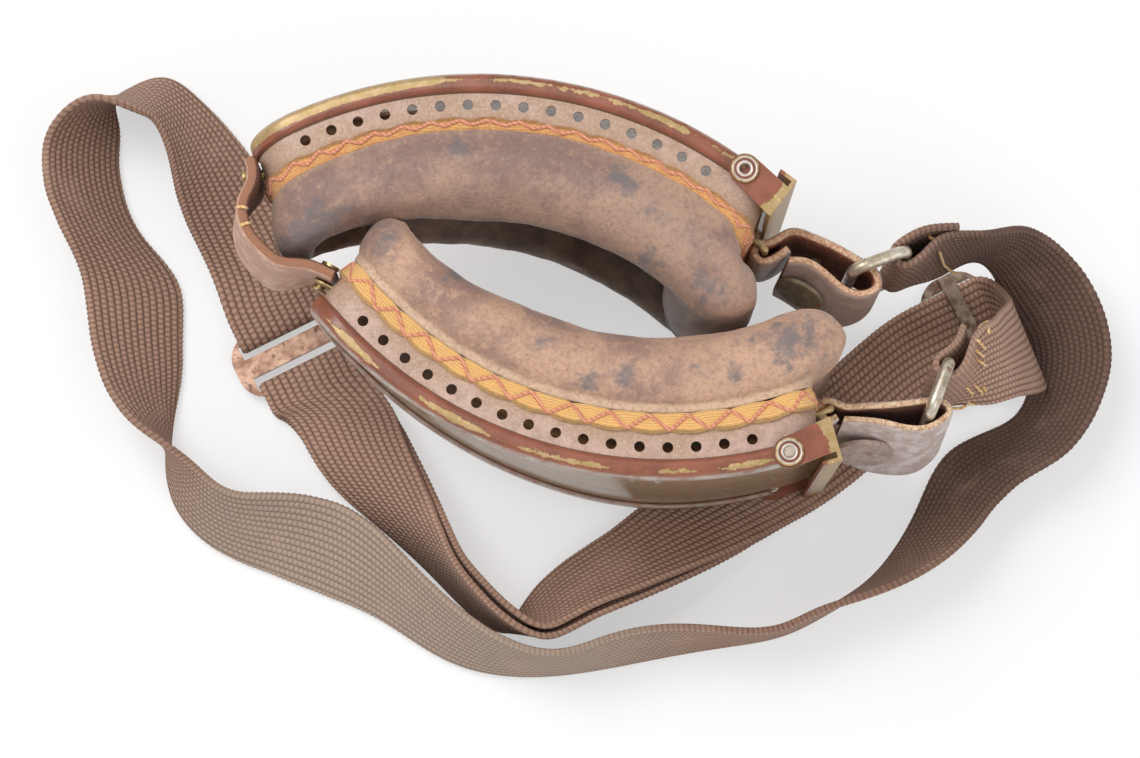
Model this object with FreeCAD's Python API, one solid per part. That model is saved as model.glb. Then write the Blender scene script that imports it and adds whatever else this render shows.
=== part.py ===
import FreeCAD, Part
import math
import os

Vector = FreeCAD.Vector

# A pair of old flying goggles, lying folded on a table with the strap laid out round them.
# Millimetres, +Z up, the table is z = 0, the origin is under the middle of the whole layout.

# Unrolled front outline of one eyepiece: s runs round the face towards the temple, z is up
TOP_Z = 57.5
BOTTOM_Z = 1.6
TEMPLE_S = 54.0
NOSE_SLOPE_DEG = 30.7
NOSE_LINE_OFFSET = -11.3
TEMPLE_CORNER_R = 6.0
CHEEK_CORNER_R = 40.0
NOSE_CORNER_R = 9.0
LEAST_CORNER_R = 3.0

# Radii of the curved front, from the eye side outwards
FRONT_R = 83.0
CUSHION_BACK_R = 56.3
VENT_R = 77.7
WALL_BACK_R = 74.2
WALL_FRONT_R = 79.85
PIVOT_R = 81.7
LENS_R = (81.0, 82.8)

# Wall, vents, lens and cushion
WALL_OUT = -1.0
WALL_THICK = 0.7
VENT_D = 2.0
TOP_VENTS = 16
TOP_VENT_STEP_DEG = 3.78
LOWER_VENTS = 6
LOWER_VENT_S = 18.0
LOWER_VENT_STEP = 5.29
LENS_INSET = -1.75
LENS_TEMPLE_S = 54.3
CUSHION_SIDE_BULGE = 1.0
CUSHION_NOSE_BULGE = 0.0
CUSHION_TEMPLE_BULGE = 6.0
CUSHION_BOTTOM_BULGE = 1.9
CUSHION_PRESS_GAP = 0.45

# Temple latch and its eyelets
PIVOT_DEG = 32.5
EYELET_R = 1.5
EYELET_BORE_R = 1.0
EYELET_FLANGE_R = 2.6
RUNNING_GAP = 0.06
ARM_THICK = 0.65
ARM_GAP = 0.3
FLANGE_THICK = 0.35
LATCH_PLATE_T = 8.2
LATCH_PLATE_THICK = 0.7
LATCH_BACK = -4.2
LATCH_ARM_FRONT = 2.1
LATCH_LIP_FRONT = 4.0
LATCH_LIP_END = 5.3

# Loop on the temple side of the wall that holds the leather tab
LOOP_WIRE_R = 0.7
LOOP_STAND_OFF = 3.3
LOOP_R = 75.2
LOOP_LOW_Z = 19.2
LOOP_HIGH_Z = 42.9
LOOP_NOTCH_GAP = 0.3

# Wire rings
RING_WIRE_R = 1.2
RING_TALL = 23.6
RING_CORNER_R = 2.6

# Webbing
MAIN_THICK = 1.4
DOUBLED_THICK = 1.2
HALF_WIDTH = 10.0

# Sliders: a flat frame with a bar across the middle
SLIDER_LONG = 26.0
SLIDER_WIDE = 13.0
SLIDER_LOW_Z = 1.8
SLIDER_THICK = 1.3
SLOT_LONG = 20.9
SLIDER_BAR_Q = 5.0
MIDDLE_BAR_A = 2.0
MIDDLE_BAR_B = 1.4
RAISED_BAR_Z = 5.5

# Where the two eyepieces lie: centre of the curve, turn about z, height above the table
RIGHT_CENTRE = (-17.13, -34.44)
RIGHT_TURN_DEG = -4.45
LEFT_CENTRE = (17.73, 57.17)
LEFT_TURN_DEG = -197.05
LEFT_LIFT = 3.0
LAYOUT_SHIFT = Vector(-0.96, -0.91, 0.0)

os.makedirs("parts", exist_ok=True)


def save(name, shape):
    moved = shape.copy()
    moved.translate(LAYOUT_SHIFT)
    moved.exportStep("parts/" + name + ".step")


# Front outline: four sides with rounded corners, each side given by the angle it faces
SIDES = {
    "top": (90.0, TOP_Z),
    "nose": (270.0 - NOSE_SLOPE_DEG, NOSE_LINE_OFFSET),
    "bottom": (270.0, -BOTTOM_Z),
    "temple": (360.0, TEMPLE_S),
}
CORNERS = [
    ("top", "nose", NOSE_CORNER_R),
    ("nose", "bottom", CHEEK_CORNER_R),
    ("bottom", "temple", TEMPLE_CORNER_R),
    ("temple", "top", TEMPLE_CORNER_R),
]


def facing(side):
    angle = math.radians(SIDES[side][0])
    return math.cos(angle), math.sin(angle)


def corner_arc(number, offset):
    first, second, radius = CORNERS[number]
    radius = max(radius + offset, LEAST_CORNER_R)
    ax, ay = facing(first)
    bx, by = facing(second)
    reach_a = SIDES[first][1] + offset - radius
    reach_b = SIDES[second][1] + offset - radius
    size = ax * by - ay * bx
    centre_s = (reach_a * by - reach_b * ay) / size
    centre_z = (ax * reach_b - bx * reach_a) / size
    start = SIDES[first][0]
    end = SIDES[second][0]
    if end < start:
        end += 360.0
    return centre_s, centre_z, radius, start, end


def corner_point(number, share, offset):
    centre_s, centre_z, radius, start, end = corner_arc(number, offset)
    angle = math.radians(start + (end - start) * share)
    return centre_s + radius * math.cos(angle), centre_z + radius * math.sin(angle)


def side_point(number, share, offset):
    before = corner_point(number - 1, 1.0, offset)
    after = corner_point(number, 0.0, offset)
    s = before[0] + (after[0] - before[0]) * share
    z = before[1] + (after[1] - before[1]) * share
    return s, z


def outline_point(place, offset):
    kind, number, share = place
    if kind == "corner":
        return corner_point(number, share, offset)
    return side_point(number, share, offset)


def curved(s, z, r):
    angle = s / ((FRONT_R + r) / 2.0)
    return Vector(r * math.sin(angle), r * math.cos(angle), z)


# Steps taken round the outline, starting at the temple end of the top
SIDE_STEPS = [14, 9, 5, 5]
CORNER_STEPS = [9, 5, 4, 4]


def stations_round():
    places = []
    for number in range(4):
        for step in range(SIDE_STEPS[number]):
            places.append(("side", number, step / SIDE_STEPS[number]))
        for step in range(CORNER_STEPS[number]):
            places.append(("corner", number, step / CORNER_STEPS[number]))
    return places


PROBE_IN = 6.0
PROBE_BACK = 25.0


def section_frame(place):
    s, z = outline_point(place, 0.0)
    inner_s, inner_z = outline_point(place, -PROBE_IN)
    base = curved(s, z, FRONT_R)
    outward = (base - curved(inner_s, inner_z, FRONT_R)) * (1.0 / PROBE_IN)
    forward = (base - curved(s, z, FRONT_R - PROBE_BACK)) * (1.0 / PROBE_BACK)
    return base, outward, forward


def section_wire(place, pieces):
    base, outward, forward = section_frame(place)
    edges = []
    for piece in pieces:
        points = [base + outward * a + forward * (r - FRONT_R) for a, r in piece]
        if len(points) == 2:
            edges.append(Part.LineSegment(points[0], points[1]).toShape())
        else:
            edges.append(Part.Arc(points[0], points[1], points[2]).toShape())
    return Part.Wire(edges)


def straight_pieces(corners):
    count = len(corners)
    return [(corners[i], corners[(i + 1) % count]) for i in range(count)]


def closed_solid(faces):
    shell = Part.makeShell(faces)
    shell.sewShape()
    solid = Part.makeSolid(Part.Shell(shell.Faces))
    if solid.Volume < 0:
        solid.reverse()
    return solid


def ring_solid(pieces_at):
    wires = [section_wire(place, pieces_at(place)) for place in stations_round()]
    half = len(wires) // 2
    faces = Part.makeLoft(wires[:half + 1], False, True).Faces
    faces += Part.makeLoft(wires[half:] + wires[:1], False, True).Faces
    return closed_solid(faces)


# Sheet wall between the rim and the cushion, with its row of vent holes
def make_vent_wall():
    inner = WALL_OUT - WALL_THICK
    corners = [(WALL_OUT, WALL_BACK_R), (WALL_OUT, WALL_FRONT_R), (inner, WALL_FRONT_R), (inner, WALL_BACK_R)]
    wall = ring_solid(lambda place: straight_pieces(corners))
    drills = []
    for number in range(TOP_VENTS):
        angle = math.radians((number - (TOP_VENTS - 1) / 2.0) * TOP_VENT_STEP_DEG)
        foot = Vector(VENT_R * math.sin(angle), VENT_R * math.cos(angle), TOP_Z - 4.0)
        drills.append(Part.makeCylinder(VENT_D / 2.0, 5.0, foot))
    for number in range(LOWER_VENTS):
        foot = curved(LOWER_VENT_S + number * LOWER_VENT_STEP, 0.0, VENT_R)
        drills.append(Part.makeCylinder(VENT_D / 2.0, 5.0, foot))
    return wall.cut(Part.makeCompound(drills))


# Rolled rim: a channel open at the temple that the lens slides into
RIM_PIECES = [
    ((-3.4, 79.9), (-0.9, 79.9)),
    ((-0.9, 79.9), (-0.26, 80.25), (0.0, 81.1)),
    ((0.0, 81.1), (0.0, 82.3)),
    ((0.0, 82.3), (-0.36, 83.22), (-1.2, 83.6)),
    ((-1.2, 83.6), (-3.4, 83.6)),
    ((-3.4, 83.6), (-3.4, 82.95)),
    ((-3.4, 82.95), (-1.5, 82.95)),
    ((-1.5, 82.95), (-1.5, 80.85)),
    ((-1.5, 80.85), (-3.4, 80.85)),
    ((-3.4, 80.85), (-3.4, 79.9)),
]


def make_lens_rim():
    places = [place for place in stations_round() if place[1] < 2 or place[:2] == ("side", 2)]
    places.append(("side", 2, 0.96))
    wires = [section_wire(place, RIM_PIECES) for place in places]
    rim = Part.makeLoft(wires, True, True)
    foot = pivot_point(0.0)
    return rim.cut(Part.makeCylinder(EYELET_R + 0.02, TOP_Z + 5.0, foot - Vector(0, 0, 2)))


# Curved glass, cut from upright strips along the face
def lens_span(s):
    low = BOTTOM_Z - LENS_INSET
    high = TOP_Z + LENS_INSET
    facing_s, facing_z = facing("nose")
    nose_s, nose_z, nose_r, start, end = corner_arc(0, LENS_INSET)
    cheek_s, cheek_z, cheek_r, start, end = corner_arc(1, LENS_INSET)
    temple_s = TEMPLE_S - TEMPLE_CORNER_R
    if s < nose_s:
        rise = math.sqrt(max(nose_r ** 2 - (s - nose_s) ** 2, 0.0))
        high = nose_z + rise
    touch_s = nose_s + nose_r * facing_s
    if s < touch_s:
        low = nose_z - rise
    elif s < cheek_s + cheek_r * facing_s:
        low = (SIDES["nose"][1] + LENS_INSET - facing_s * s) / facing_z
    elif s < cheek_s:
        low = cheek_z - math.sqrt(cheek_r ** 2 - (s - cheek_s) ** 2)
    if s > temple_s:
        drop = (s - temple_s) ** 2 / (2.0 * TEMPLE_CORNER_R) * 0.8
        low += drop
        high -= drop
    return low, high


def make_lens():
    centre_s, centre_z, radius, start, end = corner_arc(0, LENS_INSET)
    stops = [centre_s - radius * math.cos(math.radians(12.0 + 13.0 * i)) for i in range(6)]
    first = stops[-1]
    steps = 22
    stops += [first + (LENS_TEMPLE_S - first) * (i + 1) / steps for i in range(steps)]
    wires = []
    for s in stops:
        low, high = lens_span(s)
        corners = [(low, LENS_R[0]), (low, LENS_R[1]), (high, LENS_R[1]), (high, LENS_R[0])]
        angle = s / ((FRONT_R + LENS_R[1]) / 2.0)
        points = [Vector(r * math.sin(angle), r * math.cos(angle), z) for z, r in corners]
        wires.append(Part.makePolygon(points + points[:1]))
    return Part.makeLoft(wires, True, True)


# How wide the roll and its lining are: they narrow into the sharp corner at the nose
SEAM_A = -2.6
NOSE_CORNER_WIDTH = 0.4


def width_at(place):
    kind, number, share = place
    if number > 1 or (kind == "corner" and number == 1):
        return 1.0
    if kind == "corner":
        return NOSE_CORNER_WIDTH
    far = 1.0 - (share - 0.55) / 0.45 if number == 0 else share / 0.5
    far = min(max(far, 0.0), 1.0)
    return NOSE_CORNER_WIDTH + (1.0 - NOSE_CORNER_WIDTH) * far * far * (3.0 - 2.0 * far)


def drawn_in(point, width):
    a, r = point
    if a < SEAM_A:
        a = SEAM_A + (a - SEAM_A) * width
    return a, r


# Padded leather roll round the eye, with a crown and drawn-in sides
def cushion_pieces(place, grow=0.0):
    kind, number, share = place
    bulges = [CUSHION_SIDE_BULGE, CUSHION_NOSE_BULGE, CUSHION_BOTTOM_BULGE, CUSHION_TEMPLE_BULGE]
    bulge = bulges[number]
    if kind == "corner":
        after = bulges[(number + 1) % 4]
        low_share = share if after < bulge else 1.0 - share
        bulge = min(bulge, after) + abs(after - bulge) * (1.0 - low_share) ** 2
    more = bulge - CUSHION_SIDE_BULGE
    width = width_at(place)
    flat = 1.0 - width
    seam = (SEAM_A, 71.0 + grow)
    rise = (-0.7 + 0.75 * more + grow, 69.3)
    side = (bulge + grow, 64.45)
    fall = (-0.02 + 0.95 * more + grow, 60.6 + 1.6 * flat - 0.4 * grow)
    shoulder = drawn_in((-4.0 + 0.6 * more + 0.5 * grow, 57.2 + 4.4 * flat - 0.9 * grow), width)
    crown = drawn_in((-6.5 + 0.4 * more, CUSHION_BACK_R + 5.1 * flat - grow), width)
    over = 3.2 * grow
    turn = drawn_in((-10.5 - 0.6 * over, 58.2 + 4.3 * flat - grow), width)
    inside = drawn_in((-12.0 - over, 64.0), width)
    front = drawn_in((-9.0 - 0.7 * over, 70.6 + grow), width)
    outer = [(seam, rise, side), (side, fall, shoulder)]
    return outer + [(shoulder, crown, turn), (turn, inside, front), (front, seam)]


def make_cushion(grow=0.0):
    cushion = ring_solid(lambda place: cushion_pieces(place, grow))
    below = Part.makeBox(200.0, 200.0, 20.0, Vector(-100.0, 0.0, -20.0))
    return cushion.cut(below)


# Thin dark lining in front of the cushion and down its inner side
LINING_CORNERS = [
    (-2.7, 71.35),
    (-9.25, 70.98),
    (-11.62, 67.5),
    (-12.42, 64.1),
    (-12.95, 64.1),
    (-12.28, 67.3),
    (-9.6, 71.5),
    (-2.7, 71.9),
]

# Cloth tape over the seam between the wall and the cushion
TAPE_CORNERS = [(-0.35, 75.3), (-0.95, 75.3), (-0.95, 74.1), (-2.25, 71.35), (-1.2, 71.35)]


def make_lining():
    return ring_solid(lambda place: straight_pieces([drawn_in(corner, width_at(place))
                                                     for corner in LINING_CORNERS]))


def make_tape():
    tape = ring_solid(lambda place: straight_pieces(TAPE_CORNERS))
    wall, outward = staple_places()
    notches = []
    for z in (LOOP_LOW_Z, LOOP_HIGH_Z):
        start = wall - outward * 1.0 + Vector(0, 0, z)
        notches.append(Part.makeCylinder(LOOP_WIRE_R + LOOP_NOTCH_GAP, LOOP_STAND_OFF, start, outward))
    return tape.cut(Part.makeCompound(notches))


# Temple latch: two arms and an end plate that shuts the open end of the rim
def pivot_point(z):
    angle = math.radians(PIVOT_DEG)
    return Vector(PIVOT_R * math.sin(angle), PIVOT_R * math.cos(angle), z)


def at_pivot(shape):
    shape.rotate(Vector(0, 0, 0), Vector(0, 0, 1), -PIVOT_DEG)
    shape.translate(pivot_point(0.0))
    return shape


ARM_TOP_Z = TOP_Z + ARM_GAP
ARM_BOTTOM_Z = BOTTOM_Z - ARM_GAP - ARM_THICK
TOP_FLANGE_Z = ARM_TOP_Z + ARM_THICK + ARM_GAP


def latch_arm(z):
    eye_r = 2.9
    end = LATCH_PLATE_T + 0.1
    edges = [
        Part.Arc(Vector(0, -eye_r, z), Vector(-eye_r, 0, z), Vector(0, eye_r, z)).toShape(),
        Part.LineSegment(Vector(0, eye_r, z), Vector(end, LATCH_ARM_FRONT, z)).toShape(),
        Part.LineSegment(Vector(end, LATCH_ARM_FRONT, z), Vector(end, LATCH_BACK, z)).toShape(),
        Part.LineSegment(Vector(end, LATCH_BACK, z), Vector(0, -eye_r, z)).toShape(),
    ]
    arm = Part.Face(Part.Wire(edges)).extrude(Vector(0, 0, ARM_THICK))
    return arm.cut(Part.makeCylinder(EYELET_R + RUNNING_GAP, 4.0, Vector(0, 0, z - 1.0)))


def make_temple_latch():
    low = ARM_BOTTOM_Z
    tall = ARM_TOP_Z + ARM_THICK - low
    plate = Part.makeBox(LATCH_PLATE_THICK, LATCH_LIP_FRONT - LATCH_BACK, tall,
                         Vector(LATCH_PLATE_T, LATCH_BACK, low))
    lip_long = LATCH_PLATE_T + LATCH_PLATE_THICK - LATCH_LIP_END
    lip = Part.makeBox(lip_long, LATCH_PLATE_THICK, tall,
                       Vector(LATCH_LIP_END, LATCH_LIP_FRONT - LATCH_PLATE_THICK, low))
    bracket = plate.fuse([lip, latch_arm(ARM_TOP_Z), latch_arm(low)]).removeSplitter()
    return at_pivot(bracket)


def make_latch_eyelets():
    top_foot = TOP_Z - 1.45
    top = Part.makeCylinder(EYELET_R, TOP_FLANGE_Z + FLANGE_THICK - top_foot, Vector(0, 0, top_foot))
    top = top.fuse(Part.makeCylinder(EYELET_FLANGE_R, FLANGE_THICK, Vector(0, 0, TOP_FLANGE_Z)))
    top = top.cut(Part.makeCylinder(EYELET_BORE_R, 10.0, Vector(0, 0, top_foot - 1.0)))
    low = Part.makeCylinder(EYELET_R, BOTTOM_Z + 1.45)
    low = low.fuse(Part.makeCylinder(EYELET_FLANGE_R, FLANGE_THICK))
    low = low.cut(Part.makeCylinder(EYELET_BORE_R, 10.0, Vector(0, 0, -1.0)))
    return at_pivot(Part.makeCompound([top, low]))


# Wire staple on the temple side of the wall
def staple_places():
    wall = curved(TEMPLE_S + WALL_OUT, 0.0, LOOP_R)
    angle = math.atan2(wall.x, wall.y)
    outward = Vector(math.cos(angle), -math.sin(angle), 0)
    return wall, outward


def make_wall_loop():
    wall, outward = staple_places()
    rod_foot = wall + outward * LOOP_STAND_OFF
    rod = Part.makeCylinder(LOOP_WIRE_R, LOOP_HIGH_Z - LOOP_LOW_Z, rod_foot + Vector(0, 0, LOOP_LOW_Z))
    legs = []
    for z in (LOOP_LOW_Z, LOOP_HIGH_Z):
        start = wall + outward * 0.15 + Vector(0, 0, z)
        legs.append(Part.makeCylinder(LOOP_WIRE_R, LOOP_STAND_OFF - 0.15, start, outward))
        legs.append(Part.makeSphere(LOOP_WIRE_R, rod_foot + Vector(0, 0, z)))
    return rod.fuse(legs).removeSplitter()


# Placing an eyepiece piece on the table: the left one is the mirror image of the right one
def lay_right(shape):
    laid = shape.copy()
    laid.rotate(Vector(0, 0, 0), Vector(0, 0, 1), RIGHT_TURN_DEG)
    laid.translate(Vector(RIGHT_CENTRE[0], RIGHT_CENTRE[1], 0))
    return laid


def lay_left(shape):
    laid = shape.mirror(Vector(0, 0, 0), Vector(1, 0, 0))
    laid.rotate(Vector(0, 0, 0), Vector(0, 0, 1), LEFT_TURN_DEG)
    laid.translate(Vector(LEFT_CENTRE[0], LEFT_CENTRE[1], LEFT_LIFT))
    return laid


def lay_point(side, point):
    vertex = Part.Vertex(point)
    laid = lay_right(vertex) if side == "right" else lay_left(vertex)
    return laid.Point


# A flat strip, given by stations of its low edge and its high edge, in lengths of a few stations
LENGTH_STATIONS = 5


def strip_sections(stations, thick):
    count = len(stations)
    middles = [(Vector(*low) + Vector(*high)) * 0.5 for low, high in stations]
    sections = []
    for i in range(count):
        low = Vector(*stations[i][0])
        high = Vector(*stations[i][1])
        before = middles[max(i - 1, 0)]
        after = middles[min(i + 1, count - 1)]
        normal = (high - low).cross(after - before)
        normal.normalize()
        half = normal * (thick / 2.0)
        sections.append((low - half, high - half, high + half, low + half))
    return middles, sections


def ruled_face(first, second):
    surface = Part.BSplineSurface()
    surface.buildFromPolesMultsKnots([first.getPoles(), second.getPoles()], [2, 2],
                                     first.getMultiplicities(), [0.0, 1.0], first.getKnots(),
                                     False, False, 1, first.Degree)
    return surface.toShape()


def make_strip(stations, thick):
    middles, sections = strip_sections(stations, thick)
    travel = [0.0]
    for i in range(1, len(middles)):
        step = middles[i].distanceToPoint(middles[i - 1])
        travel.append(travel[-1] + step)
    curves = []
    for corner in range(4):
        curve = Part.BSplineCurve()
        curve.interpolate(Points=[section[corner] for section in sections], Parameters=travel)
        curves.append(curve)
    faces = []
    for first in range(0, len(travel) - 1, LENGTH_STATIONS):
        last = min(first + LENGTH_STATIONS, len(travel) - 1)
        edges = []
        for curve in curves:
            edge = curve.copy()
            edge.segment(travel[first], travel[last])
            edges.append(edge)
        faces += [ruled_face(edges[i], edges[(i + 1) % 4]) for i in range(4)]
    for end in (sections[0], sections[-1]):
        faces.append(Part.Face(Part.makePolygon(list(end) + [end[0]])))
    return closed_solid(faces)


# Leather tabs: the strip goes round the wall loop, out, round the ring and back
def arc_points(centre, radius, degrees, z):
    points = []
    for angle in degrees:
        turn = math.radians(angle)
        points.append((centre.x + radius * math.cos(turn), centre.y + radius * math.sin(turn), z))
    return points


TAB_THICK = {"right": 1.5, "left": 1.2}
RIGHT_TAB_TOP_Z = 41.1
RIGHT_TAB_LOW_Z = 21.0
RIGHT_TAB = [
    ((41.5, 22.3), (41.5, 22.0), 21.0),
    ((45.0, 21.5), (45.0, 20.7), 21.0),
    ((48.5, 20.0), (48.5, 18.8), 21.0),
    ((52.0, 18.1), (52.1, 16.8), 21.0),
    ((55.0, 16.3), (55.3, 15.4), 21.0),
    ((57.1, 14.5), (57.5, 14.0), 20.5),
    ((57.6, 12.4), (57.6, 11.9), 19.5),
    ((56.3, 11.0), (56.0, 9.8), 18.5),
    ((53.9, 10.6), (53.4, 8.6), 17.5),
    ((51.2, 11.6), (50.5, 8.4), 17.0),
    ((48.6, 13.8), (47.5, 9.6), 17.0),
    ((46.0, 16.0), (44.8, 11.2), 17.0),
    ((43.4, 17.0), (42.0, 13.0), 17.5),
    ((41.0, 17.0), (39.2, 14.4), 18.5),
]
LEFT_TAB_TOP_Z = 43.6
LEFT_TAB = [
    ((50.5, -10.9), (50.5, -11.2), 24.0),
    ((54.4, -11.0), (54.3, -11.6), 24.0),
    ((58.7, -10.8), (58.4, -12.2), 24.0),
    ((63.0, -10.3), (62.5, -13.0), 24.0),
    ((67.0, -9.9), (66.5, -13.8), 24.0),
    ((69.6, -10.3), (69.0, -14.8), 23.5),
    ((70.4, -11.7), (69.7, -16.6), 22.5),
    ((69.2, -13.2), (68.4, -18.6), 21.5),
    ((66.2, -14.8), (65.2, -20.6), 20.5),
    ((62.4, -14.8), (61.2, -20.8), 20.0),
    ((58.4, -13.9), (57.2, -20.2), 20.0),
    ((54.4, -13.4), (53.2, -18.6), 20.5),
    ((50.8, -13.3), (49.6, -16.6), 21.5),
]


def make_right_tab():
    wall, outward = staple_places()
    rod = lay_point("right", wall + outward * LOOP_STAND_OFF)
    stations = [((40.9, 19.2, RIGHT_TAB_LOW_Z), (40.9, 19.2, RIGHT_TAB_TOP_Z))]
    for x, y, z in arc_points(rod, 1.75, (-60, -105, -150, 165, 120, 75), 0.0):
        stations.append(((x, y, RIGHT_TAB_LOW_Z), (x, y, RIGHT_TAB_TOP_Z)))
    for top, low, low_z in RIGHT_TAB:
        stations.append(((low[0], low[1], low_z), (top[0], top[1], RIGHT_TAB_TOP_Z)))
    return make_strip(stations, TAB_THICK["right"])


def make_left_tab():
    wall, outward = staple_places()
    rod = lay_point("left", wall + outward * LOOP_STAND_OFF)
    low_z = 24.0
    stations = []
    for x, y, z in arc_points(rod, 1.75, (-40, -90, -140, 170, 120), 0.0):
        stations.append(((x, y, low_z), (x, y, LEFT_TAB_TOP_Z)))
    for top, low, foot_z in LEFT_TAB:
        stations.append(((low[0], low[1], foot_z), (top[0], top[1], LEFT_TAB_TOP_Z)))
    return make_strip(stations, TAB_THICK["left"])


# Disc rivets through the tabs: each disc stands just off the leather
DISC_STAND_OFF = 0.45
DISC_SHANK_R = 1.1
TAB_HOLE_R = 1.12
TAB_HOLE_REACH = 8.0


def disc_rivet(centre, normal, disc_r, disc_thick, shank_long):
    normal.normalize()
    back = centre - normal * shank_long
    shank = Part.makeCylinder(DISC_SHANK_R, shank_long + DISC_STAND_OFF + disc_thick / 2.0, back, normal)
    disc = Part.makeCylinder(disc_r, disc_thick, centre + normal * DISC_STAND_OFF, normal)
    return shank.fuse(disc).removeSplitter()


def tab_hole(centre, normal):
    normal.normalize()
    return Part.makeCylinder(TAB_HOLE_R, 2.0 * TAB_HOLE_REACH, centre - normal * TAB_HOLE_REACH, normal)


RIGHT_RIVET = Vector(43.9, 13.0, 30.5)
RIGHT_RIVET_NORMAL = Vector(-0.45, -0.86, 0.24)
LEFT_RIVET = Vector(55.2, -17.6, 32.5)
LEFT_RIVET_NORMAL = Vector(-0.02, -0.965, 0.26)
RIGHT_DISC_R = 4.8
LEFT_DISC_R = 5.6


# Wire ring, given by its inner bar and the way it points
def make_ring(top, low, reach, across):
    up = (top - low)
    up.normalize()
    side = across - up * across.dot(up)
    side.normalize()
    corner = RING_CORNER_R
    sharp = corner * (1.0 - math.sqrt(0.5))
    tall = RING_TALL

    def at(x, z):
        return low + side * x + up * z

    edges = [
        Part.LineSegment(at(0, corner), at(0, tall - corner)).toShape(),
        Part.Arc(at(0, tall - corner), at(sharp, tall - sharp), at(corner, tall)).toShape(),
        Part.LineSegment(at(corner, tall), at(reach - corner, tall)).toShape(),
        Part.Arc(at(reach - corner, tall), at(reach - sharp, tall - sharp), at(reach, tall - corner)).toShape(),
        Part.LineSegment(at(reach, tall - corner), at(reach, corner)).toShape(),
        Part.Arc(at(reach, corner), at(reach - sharp, sharp), at(reach - corner, 0)).toShape(),
        Part.LineSegment(at(reach - corner, 0), at(corner, 0)).toShape(),
        Part.Arc(at(corner, 0), at(sharp, sharp), at(0, corner)).toShape(),
    ]
    path = Part.Wire(edges)
    circle = Part.Circle(at(0, corner), up, RING_WIRE_R)
    return path.makePipeShell([Part.Wire([circle.toShape()])], True, False)


RIGHT_RING_TOP = Vector(53.0, 14.9, 42.9)
RIGHT_RING_LOW = Vector(52.2, 12.9, 19.4)
RIGHT_RING_ACROSS = Vector(0.935, 0.354, 0.0)
RIGHT_RING_REACH = 10.8
LEFT_RING_TOP = Vector(66.8, -11.9, 45.9)
LEFT_RING_LOW = Vector(66.2, -16.2, 22.7)
LEFT_RING_ACROSS = Vector(0.36, 0.93, 0.0)
LEFT_RING_REACH = 10.4


def ring_bar(top, low, reach, across):
    up = top - low
    up.normalize()
    side = across - up * across.dot(up)
    side.normalize()
    foot = low + side * reach
    return foot, foot + up * RING_TALL, up, side


# Strap stations near a ring: the strip folds round the outer bar and is sewn to itself
def ring_wrap(top, low, reach, across, radius, degrees):
    foot, head, up, side = ring_bar(top, low, reach, across)
    away = up.cross(side)
    stations = []
    for angle in degrees:
        turn = math.radians(angle)
        shift = side * (radius * math.cos(turn)) + away * (radius * math.sin(turn))
        start = foot + up * (RING_TALL / 2.0 - HALF_WIDTH) + shift
        stations.append((tuple(start), tuple(start + up * (2.0 * HALF_WIDTH))))
    return stations


# Sliders lie nearly flat: the long way is along the bars, q runs along the strap
SLIDER_A_CENTRE = (-54.0, 6.1)
SLIDER_A_LONG = (0.894, 0.447)
SLIDER_A_ALONG = (0.447, -0.894)
SLIDER_B_CENTRE = (79.3, 8.3)
SLIDER_B_LONG = (0.447, -0.894)
SLIDER_B_ALONG = (0.894, 0.447)


def slider_station(centre, long_way, along, q, z):
    x = centre[0] + along[0] * q
    y = centre[1] + along[1] * q
    dx = long_way[0] * HALF_WIDTH
    dy = long_way[1] * HALF_WIDTH
    return (x - dx, y - dy, z), (x + dx, y + dy, z)


def make_slider(centre, long_way, middle_half, raised):
    half_long = SLIDER_LONG / 2.0
    half_wide = SLIDER_WIDE / 2.0
    plate = Part.makeBox(SLIDER_LONG, SLIDER_WIDE, SLIDER_THICK, Vector(-half_long, -half_wide, SLIDER_LOW_Z))
    upright = [edge for edge in plate.Edges if abs(edge.BoundBox.ZLength - SLIDER_THICK) < 0.01]
    plate = plate.makeFillet(5.2, upright)
    slot_wide = SLIDER_BAR_Q - middle_half
    for low in (-SLIDER_BAR_Q, middle_half):
        slot = Part.makeBox(SLOT_LONG, slot_wide, 4.0, Vector(-SLOT_LONG / 2.0, low, SLIDER_LOW_Z - 1.0))
        plate = plate.cut(slot)
    if raised:
        gap = Part.makeBox(SLOT_LONG, 2.0 * middle_half, 4.0,
                           Vector(-SLOT_LONG / 2.0, -middle_half, SLIDER_LOW_Z - 1.0))
        end_long = (SLIDER_LONG - SLOT_LONG) / 2.0 - 0.4
        posts = []
        for x in (-half_long + 0.4, SLOT_LONG / 2.0):
            posts.append(Part.makeBox(end_long, 2.0 * middle_half, RAISED_BAR_Z - SLIDER_LOW_Z,
                                      Vector(x, -middle_half, SLIDER_LOW_Z)))
        bar = Part.makeBox(SLIDER_LONG - 0.8, 2.0 * middle_half, SLIDER_THICK,
                           Vector(-half_long + 0.4, -middle_half, RAISED_BAR_Z))
        plate = plate.cut(gap).fuse(posts + [bar]).removeSplitter()
    turn = math.degrees(math.atan2(long_way[1], long_way[0]))
    plate.rotate(Vector(0, 0, 0), Vector(0, 0, 1), turn)
    plate.translate(Vector(centre[0], centre[1], 0))
    return plate


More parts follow.
